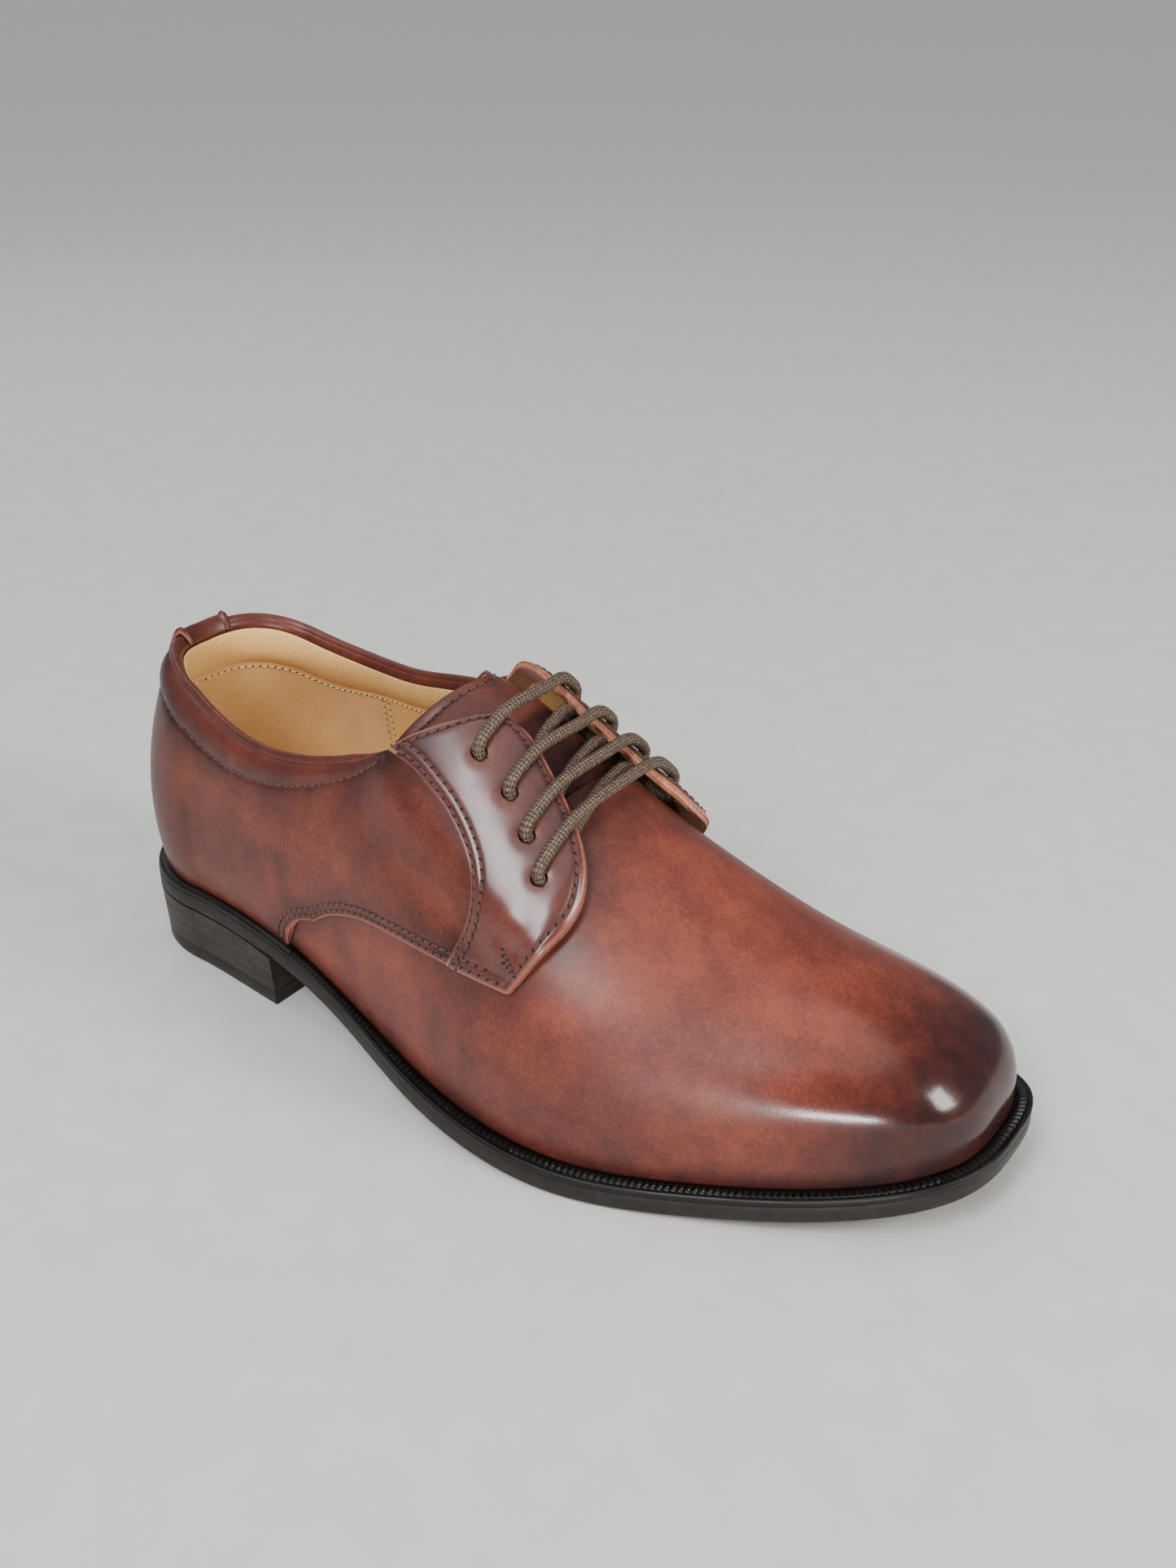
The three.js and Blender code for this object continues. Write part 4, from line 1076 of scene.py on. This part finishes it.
def make_facing_lining(side):
    name = SIDE_NAMES[side]
    low = edge([(136, 0.66), (150, 0.655), (170, 0.655), (187, 0.66)])
    high = edge([(132, 0.692), (138, 0.752), (144, 0.817), (150, 0.862), (157, 0.876), (166.6, 0.858),
                 (175.3, 0.833), (182, 0.804), (187.3, 0.758)])
    place = lambda u, v: (*(mix(a, b, v) for a, b in zip(low(u), high(u))), side)
    s, t, where = grid_of(place, np.linspace(0, 1, 70), np.linspace(0, 1, 24))
    lift = flap_rise(s, t) + facing_bumps(s, t, where)
    made = sheet(f"facing_backing_{name}", (s, t, where), (FACING_LINING[0] + lift, FACING_LINING[1] + lift),
                 [FLESH, CUT_EDGE, SMOOTH_LINING], "lining_leather", [f"facing_lining_{name}"], bulge=0.2)
    eyelet_holes(made, side, *FACING_LINING)
    made.done()


def on_quarter(s, t, side):
    return quarter_out(s, t, side) + THREAD_LIFT


def on_eyestay(s, t, side):
    return eyestay_out(s, t, side) + THREAD_LIFT


def on_both(s, t, side):
    return np.where(s > EYESTAY_BACK[0][0] + 1.3, on_eyestay(s, t, side), on_quarter(s, t, side))


# The surface that each seam is sewn on, and where its stitches stop short of its ends.
UPPER_SEAMS = {
    "swing_low": (on_both, 2, 3), "swing_high": (on_both, 3.3, 5), "collar": (on_quarter, 1, 1),
    "free": (on_eyestay, 6, 2), "back_near": (on_eyestay, 1.5, 1), "back_far": (on_eyestay, 2.2, 3),
}


def sew_upper():
    """The seams of both sides, and the bar of stitches that holds the foot of each flap down."""
    rows = []
    for side, lines in LINES.items():
        for name, (height, *trim) in UPPER_SEAMS.items():
            rows.append(stitch_row(lines[name], side, height, trim=trim))
        for lean in (-1, 0, 1):
            bar = (np.linspace(176.6 + 0.5 * lean, 181, 24), np.linspace(0.529 - 0.011 * lean, 0.512, 24))
            rows.append(stitch_row(bar, side, on_eyestay, pitch=TACK_PITCH, radius=0.34))
    sew("upper", rows, THREAD, "upper_leather")


# ---- Collar and linings ----
def both_ways(s):
    """Stations of the outer side and then, the other way round, of the inner side, with their sides."""
    return np.concatenate([s, s[::-1]]), np.repeat([LATERAL, MEDIAL], len(s))


def round_heel(far, count):
    return both_ways(far * (1 - np.linspace(0, 1, count)) ** 1.15 + BACK_S)


def follow_topline(section, s, side, rise=1.0, squeeze=None):
    """Rings of a section given as millimetres above the topline and distance from the last."""
    above, out = (np.asarray(v, float)[None] for v in np.array(section, float).T)
    t = top_at(s, side)[:, None] + above / T_MM
    if squeeze is not None:
        out = mix(squeeze[0], out, squeeze[1](s)[:, None])
    lift = rise * flap_rise(s[:, None], top_at(s, side)[:, None])
    return on_last(s[:, None], t, side[:, None], out + lift)


def make_binding():
    """The folded strip over the topline, with a fine crease along its inner edge."""
    section = [(-0.6, 1.0), (0.4, 1.5), (1.4, 1.4), (2.1, 0.8), (2.35, 0), (2.2, -1.0), (1.85, -1.3),
               (1.9, -1.7), (1.5, -2.4), (0.8, -2.9), (0.1, -3.0), (-0.1, -2.6), (0.4, -2.0), (0.6, -1),
               (0.2, 0.4)]
    section = through([*section, section[0]], 3)[:-1]
    s, side = round_heel(123, 160)
    core = follow_topline([(0.1, 0.9)], s, side)
    rings = mix(core, follow_topline(section, s, side), (1 - 0.75 * smooth(s, 108, 122))[:, None, None])
    tint = np.repeat(0.35 + 0.12 * np.sin(0.21 * s), len(section))
    made = Piece("topline_binding_leather", tube(rings), LEATHER, "upper_leather", ["topline_binding"])
    made.paint("burnish_and_shade", tint).done()


PAD_CLOTH = {"quality": 6, "mass": 0.1, "tension_stiffness": 12, "compression_stiffness": 12,
             "shear_stiffness": 8, "bending_stiffness": 0.6, "use_pressure": True,
             "vertex_group_mass": "sewn"}


def puff(piece, free, pressure, cap_mm):
    """Blows up the free part of a closed pad as cloth, and holds each point within the cap."""
    held = piece.object.vertex_groups.new(name="sewn")
    held.add([int(i) for i in np.flatnonzero(~free)], 1.0, "REPLACE")
    before = read_points(piece.mesh)
    cloth = piece.object.modifiers.new("Cloth", "CLOTH")
    configure(cloth.settings, {**PAD_CLOTH, "uniform_pressure_force": pressure})
    cloth.settings.effector_weights.gravity = 0
    cloth.collision_settings.use_collision = False
    for step in range(1, 21):
        bpy.context.scene.frame_set(step)
    piece.bake()
    bpy.context.scene.frame_set(1)
    piece.object.vertex_groups.clear()
    move = read_points(piece.mesh) - before
    length = np.maximum(np.linalg.norm(move, axis=1, keepdims=True), 1e-9)
    cap = cap_mm * 0.001
    move *= np.minimum(1, cap * np.tanh(length / cap) / length)
    piece.mesh.vertices.foreach_set("co", (before + move).astype(np.float32).ravel())
    piece.mesh.update()


def read_points(mesh):
    points = np.zeros(len(mesh.vertices) * 3, np.float32)
    mesh.vertices.foreach_get("co", points)
    return points.reshape(-1, 3).astype(float)


def roll_share(s):
    """The padded roll is deepest round the heel and gets slimmer towards the lacing flaps."""
    return 1 - 0.4 * smooth(s, 30, 75)


def make_collar_roll():
    """The padded roll of lining leather inside the topline, sewn down along its lower edge."""
    section = [(1.1, -3.4), (0.4, -4.3), (-1.2, -5.2), (-3.4, -5.9), (-5.8, -6.1), (-8.2, -5.9),
               (-10.4, -5.3), (-12.2, -4.5), (-13.2, -3.9), (-13.4, -3.3), (-11.8, -2.6), (-8.8, -2.1),
               (-5.8, -1.9), (-2.8, -2.0), (-0.8, -2.9), (-0.1, -3.3)]
    s, side = round_heel(117, 110)
    slim = lambda s: 0.4 + 0.6 * smooth(s, 117, 98) * (0.4 + 0.6 * smooth(s, 8, 18))
    rings = follow_topline(section, s, side, 0.6, (-3.6, slim))
    rings = mix(follow_topline([(0.9, -3.5)], s, side, 0.6), rings, roll_share(s)[:, None, None])
    made = Piece("collar_roll", tube(rings), SMOOTH_LINING, "lining_leather", ["collar_foam"])
    free = np.zeros((len(s), len(section)), bool)
    free[2:-2, 2:8] = s[2:-2, None] > 10
    puff(made, free.ravel(), 4.0, 1.6)
    made.modify("SUBSURF", levels=1)
    made.done()


def make_heel_lining():
    s, side = round_heel(LINING_SEAM_S, 70)
    v = np.linspace(0, 1, 50)
    t = v[None] * (top_at(s, side) - ROLL_DEPTH * roll_share(s) / T_MM)[:, None]
    grid = [np.broadcast_to(a, t.shape).copy() for a in (s[:, None], t, side[:, None])]
    sheet("heel_lining_suede", grid, LINING, [FLESH, SUEDE, SUEDE], "lining_leather", ["heel_lining"]).done()


def make_quarter_lining(side):
    name = SIDE_NAMES[side]

    def place(u, v):
        s = mix(LINING_SEAM_S + 0.4, 148.5, u)
        low_top = topline_t[side](s) - ROLL_DEPTH * roll_share(s) / T_MM
        top = np.minimum(mix(low_top, topline_t[side](s), smooth(s, 112, 124)), 0.54)
        return s - 49 * u * (1 - v), v * top, side

    grid = grid_of(place, np.linspace(0, 1, 60), np.linspace(0, 1, 50))
    sheet(f"front_lining_{name}", grid, LINING, [FLESH, SMOOTH_LINING, SMOOTH_LINING], "lining_leather",
          [f"quarter_lining_{name}"]).done()


def sew_lining():
    on_lining = lambda s, t, side: np.full_like(s, LINING[0] - 0.12)
    rows = []
    for side in (LATERAL, MEDIAL):
        s = np.linspace(1, 114, 180)
        line = (s, topline_t[side](s) - (ROLL_SEAM_DEPTH * roll_share(s) + 0.2) / T_MM)
        rows.append(stitch_row(line, side, on_lining, 2.5, inward=True, radius=0.24))
        top = topline_t[side](LINING_SEAM_S) - (ROLL_SEAM_DEPTH + 0.3) * roll_share(LINING_SEAM_S) / T_MM
        t = np.linspace(0.02, float(top), 60)
        for shift in (-1.2, 1.6):
            line = (np.full_like(t, LINING_SEAM_S + shift), t)
            rows.append(stitch_row(line, side, on_lining, 2.5, inward=True, radius=0.22))
    sew("lining", rows, CREAM_THREAD, "lining_leather")


def make_heel_tab():
    """A strap folded over the topline at the back seam, with a rolled ridge at each of its ends."""
    face = [(-20, 2.6), (-15, 3.1), (-8, 3.1), (-2, 3.0), (1.2, 2.7), (2.9, 1.7), (3.4, 0.2), (3.3, -1.2),
            (2.9, -2.4), (2.3, -3.3)]
    back = [(-20, 1.75), (-15, 2.2), (-8, 2.2), (-2, 2.1), (0.9, 1.9), (2.2, 1.2), (2.6, 0.1), (2.5, -1.1),
            (2.3, -2.0), (1.9, -2.8)]
    s, side = round_heel(9, 34)
    outer, inner = (follow_topline(through(section, 6), s, side) for section in (face, back))
    run = run_of(outer[:, 0])
    ridge = 1.0 * hump(np.minimum(run, run[-1] - run) - 1.6, 1.2)
    outer = inner + (outer - inner) * (1 + ridge)[:, None, None]
    vertices, faces, parts = skin(outer, inner, 0.35)
    made = Piece("heel_tab_leather", (vertices, faces), [LEATHER, DYED_EDGE, FLESH], "upper_leather",
                 ["heel_tab"], parts=parts)
    made.paint("burnish_and_shade", np.full(len(vertices), 0.4)).done()


def sew_heel_tab():
    on_tab = lambda s, t, side: np.full_like(s, 3.1)
    rows = []
    for one in (LATERAL, MEDIAL):
        foot_s = np.linspace(0.3, 6.2, 30)
        rows.append(stitch_row((foot_s, topline_t[one](foot_s) - HEEL_TAB_DEPTH / T_MM), one, on_tab, 2.2))
        drop = np.linspace(-17.5, -1.5, 40) / T_MM
        rows.append(stitch_row((np.full(40, 6.2), topline_t[one](6.2) + drop), one, on_tab, 2.4))
    sew("heel_tab", rows, THREAD, "upper_leather")


# ---- Tongue ----
def tongue_place(u, v):
    across = 2 * v - 1
    start = mix(131, 118.5, np.abs(across) ** 1.4)
    corner = np.minimum(1, np.sqrt(0.86 + 3 * u))
    wide = np.where(across < 0, 0.35, 0.28)
    half = mix(wide, 0.2, smooth(u, 0.3, 0.9)) * corner * across
    return mix(start, 186, u), 1 - np.abs(half), np.where(half < 0, LATERAL, MEDIAL)


def tongue_out(s, height):
    """Distance from the last: the free end of the tongue sinks under the flaps."""
    return height - TONGUE_SINK * (1 - smooth(s, 122, 152))


def tongue_border():
    """The line of stitches that follows the tongue's free edges."""
    u = np.concatenate([np.linspace(0.6, 0.045, 60), np.full(80, 0.04), np.linspace(0.045, 0.6, 60)])
    v = np.concatenate([np.full(60, 0.035), np.linspace(0.035, 0.965, 80), np.full(60, 0.965)])
    u, v = through(np.stack([u, v], -1)[::9], 9).T
    return tongue_place(u, v)


def make_tongue():
    grid = grid_of(tongue_place, np.linspace(0, 1, 100), np.linspace(0, 1, 110))
    s, t, side = grid
    border = tongue_border()
    line = on_last(*border, tongue_out(border[0], TONGUE[1]))
    dip = 0.4 * hump(away(on_last(s, t, side, tongue_out(s, TONGUE[1])), line), 1.0)
    u = np.linspace(0, 1, 100)[:, None]
    v = np.linspace(0, 1, 110)[None]
    swell = 0.35 * np.sin(math.pi * v) * smooth(u, 0, 0.12) * smooth(u, 0.75, 0.4)
    # The tongue is a darker tone all over, and darker still towards the vamp: painted shade in the lacing gap
    # under the flaps and laces.
    tint = 0.45 * smooth(u, 0.1, 0.5) + 0.45 + 0 * v
    outer = tongue_out(s, TONGUE[1]) + swell - dip
    sheet("tongue_leather", grid, (tongue_out(s, TONGUE[0]), outer), [LEATHER, LEATHER, FLESH],
          "upper_leather", ["tongue"], "tongue", paints={"burnish_and_shade": tint}).done()
    sheet("tongue_lining_leather", grid, [tongue_out(s, height) for height in TONGUE_LINING],
          [FLESH, CUT_EDGE, SMOOTH_LINING], "lining_leather", ["tongue_lining"], "tongue").done()


def sew_tongue():
    s, t, _ = tongue_border()
    rows = []
    middle = int(np.argmax(t))
    on_tongue = lambda s, t, side: tongue_out(s, TONGUE[1]) - 0.25
    for part, one in ((slice(0, middle), LATERAL), (slice(middle, None), MEDIAL)):
        rows.append(stitch_row((s[part], t[part]), one, on_tongue))
    sew("tongue", rows, THREAD, "upper_leather", "tongue")


# ---- Lace ----
LACE_UNDER = 1.85
LACE_ON_TONGUE = 2.7
LACE_OVER = 9.3
LACE_GAP = 7.8
FREE_EDGE_T = [0.878, 0.874, 0.855, 0.828]
CLIMB = [(0.014, 1.9), (0.003, 2.7), (0, 4.2), (0, 6.6), (0.002, 8.2), (0.012, 9.2), (0.033, LACE_OVER)]
TAIL = [(146, 0.728, 1.4), (141, 0.676, 0.7), (137, 0.632, -1), (133, 0.59, -4.2), (129, 0.545, -6),
        (124.5, 0.48, -6.4), (121, 0.41, -6.6), (118.5, 0.33, -6.8), (119, 0.24, -6.9), (123, 0.16, -6.8),
        (130, 0.11, -6.6), (139, 0.095, -6.4), (148, 0.09, -6.2), (156, 0.088, -6.2)]
RETURN = [(176, 0.694, 1.9), (171, 0.694, 1.8), (163, 0.698, 1.7), (156, 0.705, 1.6), (150.5, 0.71, 1.6)]


def cross_under(here, after):
    """Under the flaps from an inner eyelet, over the ridge, to the next outer eyelet."""
    (s, t), (next_s, next_t) = here, after
    edge_t = 0.87
    places = ((0.15, mix(t, edge_t, 0.5), MEDIAL, LACE_UNDER), (0.28, edge_t, MEDIAL, LACE_UNDER),
              (0.4, 0.94, MEDIAL, LACE_ON_TONGUE), (0.5, 1, MEDIAL, LACE_ON_TONGUE + 0.2),
              (0.6, 0.94, LATERAL, LACE_ON_TONGUE), (0.72, edge_t, LATERAL, LACE_UNDER),
              (0.86, mix(next_t, edge_t, 0.5), LATERAL, LACE_UNDER))
    return [(mix(s, next_s, share), *place) for share, *place in places]


def lace_route():
    """The lace comes up through each outer eyelet, crosses the gap, and goes down through the inner one."""
    route = [(s, t, LATERAL, out) for s, t, out in reversed(TAIL)]
    for i, (s, t) in enumerate(EYELETS):
        climb = [(s, t + step, out) for step, out in CLIMB]
        free, middle = s + 0.5, s + 1.5
        route += [(a, b, LATERAL, out) for a, b, out in climb]
        route += [(free, FREE_EDGE_T[i], LATERAL, LACE_OVER), (middle, 1, MEDIAL, LACE_GAP),
                  (free, FREE_EDGE_T[i], MEDIAL, LACE_OVER)]
        last = i == len(EYELETS) - 1
        route += [(a, b, MEDIAL, out) for a, b, out in reversed(climb[1 if last else 0:])]
        if not last:
            route += cross_under(EYELETS[i], EYELETS[i + 1])
    route += [(s, t, MEDIAL, out) for s, t, out in [*RETURN, *TAIL]]
    return on_last(*np.array(route, float).T)


def axes_along(line):
    """Two axes across a line that turn as little as possible along it."""
    tangent = unit(np.gradient(line, axis=0))
    first = np.zeros_like(line)
    axis = np.cross(tangent[0], (0, 0, 1.0))
    for i, along in enumerate(tangent):
        axis = unit(axis - axis.dot(along) * along)
        first[i] = axis
    return first, np.cross(tangent, first)


def make_lace():
    line = through(lace_route(), 30)
    line = resample(line, np.arange(0, run_of(line)[-1], 0.34))
    for _ in range(14):
        line[1:-1] = (line[:-2] + 2 * line[1:-1] + line[2:]) / 4
    run = run_of(line)
    first, second = axes_along(line)
    turns = np.arange(24) / 24
    phase = BRAID_LOBES * turns[None] / 2
    twist = BRAID_TURN * run[:, None] / 2
    relief = 0.05 * np.sin(2 * math.pi * (phase + twist)) * np.sin(2 * math.pi * (phase - twist))
    radius = LACE_RADIUS * (1 + relief)
    angle = 2 * math.pi * turns[None, :, None]
    across = first[:, None] * np.cos(angle) + second[:, None] * np.sin(angle)
    rings = line[:, None] + radius[..., None] * across
    made = Piece("lace_braid", tube(rings), LACE, "lace_cord", ["lace"])
    turn = np.repeat(np.abs(2 * turns[None] - 1), len(line), 0) / 2
    made.unwrap(turn.ravel(), np.repeat(run[:, None], 24, 1).ravel()).done()
    for i, (tip, before) in enumerate(((line[0], line[3]), (line[-1], line[-4]))):
        make_aglet(i + 1, tip, unit(tip - before))


def make_aglet(number, tip, along):
    """A crimped tube with a rounded nose, on the end of the lace."""
    shape = [(-1.5, 1.62), (-1.1, 1.72), (-0.4, 1.66), (0.2, 1.3), (1.2, 1.24), (1.5, 1.16), (1.8, 1.24),
             (3.6, 1.2), (3.9, 1.12), (4.2, 1.2), (9.5, 1.14), (10.9, 1.0), (11.7, 0.72), (12.1, 0.3)]
    side = unit(np.cross(along, (0, 0, 1.0)))
    ring = circle(side, np.cross(along, side), 20)
    rings = np.stack([tip + along * far + ring * radius for far, radius in shape])
    made = Piece(f"aglet_sleeve_{number}", tube(rings), AGLET, "aglet_plastic", [f"aglet_{number}"])
    made.crease(50).done()


# ---- Sole and heel ----
def heel_stations(count):
    return HEEL_S * np.linspace(0, 1, count) ** 1.3


def all_stations(heel, middle, toe):
    fore = np.linspace(HEEL_S, TOE_START, middle)[1:-1]
    return np.concatenate([heel_stations(heel), fore, toe_stations(toe, 1.0)])


def sole_line(s, side, reach, level, height):
    """A line along the sole's outline; level turns x and height into z."""
    x, y = outline(s, side, reach)
    return np.stack([x, y, level(x, height)], -1)


def slab(stations, side_profile, level, across=1, carve=None, rim=0):
    """A plate that follows the sole. Its side profile gives reach from the rim and height."""
    lines = []
    for side, order in ((LATERAL, 1), (MEDIAL, -1)):
        for reach, height in side_profile[::order]:
            lines.append(sole_line(stations, side, rim + reach, level, height))
    medial, lateral = lines[-1], lines[0]
    for f in np.linspace(0, 1, across + 2)[1:-1]:
        lines.append(mix(medial, lateral, f))
        if carve is not None:
            lines[-1][:, 2] += carve(lines[-1], np.linalg.norm(medial - lateral, axis=1), f)
    return tube(np.stack(lines, 1))


def over_tread(x, height):
    return tread_z(x) + height


def tread_pattern(points, width, f):
    """Depth of the moulded grooves under the sole: chevrons inside a plain border."""
    x, y = points[:, 0], points[:, 1] - middle_y(points[:, 0])
    phase = np.mod(x + 0.55 * np.abs(y), 6.5) / 6.5
    chevrons = smooth(np.abs(phase - 0.5), 0.32, 0.42)
    border = smooth(np.minimum(f, 1 - f) * width, 8, 9.5)
    front = smooth(x, 120, 123) * smooth(x, 284, 281)
    return 0.7 * chevrons * border * front


def make_sole():
    side = [(-1.0, 0), (-0.4, 0.12), (-0.05, 0.6), (0, 1.4), (0, 3.2), (0, 4.9), (-0.14, 5.2), (-0.9, 5.2)]
    stations = all_stations(26, 230, 60)
    solid = slab(stations, side, over_tread, 51, tread_pattern, sole_reach(stations))
    Piece("outsole_moulding", solid, SOLE, "sole_rubber", ["outsole"], weld=True).crease(55).done()


def edge_band(stations, section):
    """A solid with the given section, laid along the sole's edge through stations and their sides."""
    return tube(np.stack([sole_line(*stations, reach, over_tread, height) for reach, height in section], 1))


def make_welt():
    """The welt from the waist round the toe, with a band of teeth beside the upper."""
    rough = np.concatenate([np.linspace(WELT_WAIST_X, TOE_START, 400), toe_stations(500, 1.0)[1:]])
    x, y = outline(rough, LATERAL, 2.0)
    run = run_of(np.stack([x, y], -1))
    s, side = both_ways(np.interp(np.arange(0, run[-1], 0.32), run, rough))
    tooth = np.abs(np.sin(math.pi * np.interp(s, rough, run) / TOOTH_PITCH)) ** 0.8
    rim = sole_reach(s)
    teeth = rim - mix(0.7, 1.5, smooth(s, 98, 148))
    low, ledge = WELT_LOW - 0.25, WELT_TOP - 0.4
    crest = ledge + 0.1 + 0.85 * tooth
    section = [(-7, low), (rim - 0.5, low), (rim, low + 0.2), (rim + 0.03, low + 1), (rim, ledge - 0.5),
               (rim - 0.35, ledge - 0.03), (teeth + 0.2, ledge), (teeth, ledge - 0.1),
               (teeth - 0.15, ledge + 0.75 * tooth), (mix(teeth, 0.6, 0.4), crest),
               (mix(teeth, 0.6, 0.8), crest), (0.3, ledge), (-0.6, ledge + 0.1), (-7, ledge + 0.1)]
    Piece("welt_ribbed", edge_band((s, side), section), WELT, "sole_rubber", ["welt"]).crease(60).done()


def make_heel_rand():
    sides = np.linspace(WELT_WAIST_X - 0.3, HEEL_S, 40)[:-1]
    s, side = both_ways(np.concatenate([sides, heel_stations(60)[::-1]]))
    rim = sole_reach(s) - 0.15
    low, top = WELT_LOW - 0.25, WELT_TOP - 0.05
    section = [(-7, low), (rim - 0.5, low), (rim, low + 0.2), (rim, low + 1.1), (rim - 0.3, low + 1.9),
               (rim - 1.0, top - 0.1), (rim - 1.8, top), (-7, top)]
    solid = edge_band((s, side), section)
    Piece("heel_rand_moulding", solid, WELT, "sole_rubber", ["heel_rand"]).crease(50).done()


def lift_grooves(points, width, f):
    """Depth of the slanting grooves under the top lift."""
    x, y = points[:, 0], points[:, 1]
    phase = np.mod(x * 0.9 + y, 5) / 5
    inside = smooth(np.minimum(f, 1 - f) * width, 5, 6) * smooth(x, 66, 64) * smooth(x, 8, 10)
    return 0.8 * smooth(np.abs(phase - 0.5), 0.3, 0.42) * inside


def make_heel():
    """The stacked heel block, its layers showing as fine lines, and the top lift under it."""
    stations = np.concatenate([heel_stations(40), np.linspace(HEEL_S, BREAST_X, 30)[1:]])
    side = []
    for k in range(HEEL_LAYERS):
        for f, inset in ((0.02, 0.03), (0.08, 0.0), (0.5, 0.0), (0.92, 0.0), (0.98, 0.03)):
            share = (k + f) / HEEL_LAYERS
            side.append((mix(HEEL_FOOT_REACH, HEEL_REACH, share) - inset, share))
    solid = slab(stations, side, lambda x, share: mix(LIFT_HEIGHT + 0.05, tread_z(x) - 0.05, share))
    Piece("heel_stack", solid, HEEL, "heel_rubber", ["heel_block"], weld=True).crease(35).done()
    side = [(-0.7, 0), (-0.25, 0.15), (-0.05, 0.7), (0, 4.5), (-0.18, LIFT_HEIGHT)]
    solid = slab(stations, side, lambda x, height: height + 0 * x, 41, lift_grooves, HEEL_FOOT_REACH)
    Piece("top_lift_moulding", solid, SOLE, "heel_rubber", ["top_lift"], weld=True).crease(50).done()


def make_sock():
    edge_reach = LINING[0] - 0.3
    side = [(edge_reach - 0.4, SOCK_LOW), (edge_reach, SOCK_LOW + 0.5), (edge_reach, SOCK_TOP - 0.3),
            (edge_reach - 0.6, SOCK_TOP)]
    solid = slab(all_stations(20, 110, 30), side, over_tread)
    Piece("sock_leather", solid, SOCK, "lining_leather", ["sock_lining"], weld=True).done()


def make_heel_pad():
    """A soft cushion under the heel, rounded at its front."""
    front, round_from = 74, 52
    f = np.linspace(0, 1, 18)
    s = np.concatenate([HEEL_S * f[:-1] ** 1.2, np.linspace(HEEL_S, round_from, 6)[:-1],
                        mix(round_from, front - 0.4, 1 - (1 - f) ** 2)])
    half = np.sqrt(1 - np.clip((s - round_from) / (front - round_from), 0, 1) ** 2)
    reach = FOOT_INSIDE - 2 - (1 - half) * (half_width(s) + FOOT_INSIDE - 2)
    low, high = SOCK_TOP + 0.05, SOCK_TOP + 3.6
    rings = []
    for share, height in ((1, low), (1, high - 0.6), *((c, high) for c in np.linspace(0.96, -0.96, 17)),
                          (-1, high - 0.6), (-1, low), *((c, low) for c in np.linspace(-0.8, 0.8, 9))):
        x, edge_y = outline(s, MEDIAL, reach)
        middle = middle_y(np.clip(x, 0, None))
        rings.append(np.stack([x, middle + share * (edge_y - middle), tread_z(x) + height], -1))
    made = Piece("heel_cushion", tube(np.stack(rings, 1)), PAD, "foam", ["heel_pad"])
    free = np.zeros((len(s), len(rings)), bool)
    free[3:-3, 3:18] = True
    puff(made, free.ravel(), 1.2, 1.3)
    made.done()


# ---- Hidden structure ----
def finish_cad_nodes():
    """The hard pieces inside the shoe keep their CAD shape and get a finished material."""
    looks = {"cork_filler": CORK, "shank": STEEL, **{f"heel_nail_{i}": STEEL for i in range(1, 6)},
             **dict.fromkeys(("insole_board", "toe_puff", "heel_counter"), BOARD)}
    for name, material in looks.items():
        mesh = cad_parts[name].data
        mesh.materials.clear()
        mesh.materials.append(material)


point_camera()
set_studio()
lay_floor()
make_lace()
make_sole()
make_welt()
make_heel_rand()
make_heel()
make_sock()
make_heel_pad()
make_vamp()
make_vamp_lining()
for which in (LATERAL, MEDIAL):
    make_quarter(which)
    make_eyestay(which)
    make_facing_lining(which)
    make_quarter_lining(which)
sew_upper()
make_heel_lining()
make_collar_roll()
make_binding()
sew_lining()
make_heel_tab()
sew_heel_tab()
make_tongue()
sew_tongue()
finish_cad_nodes()
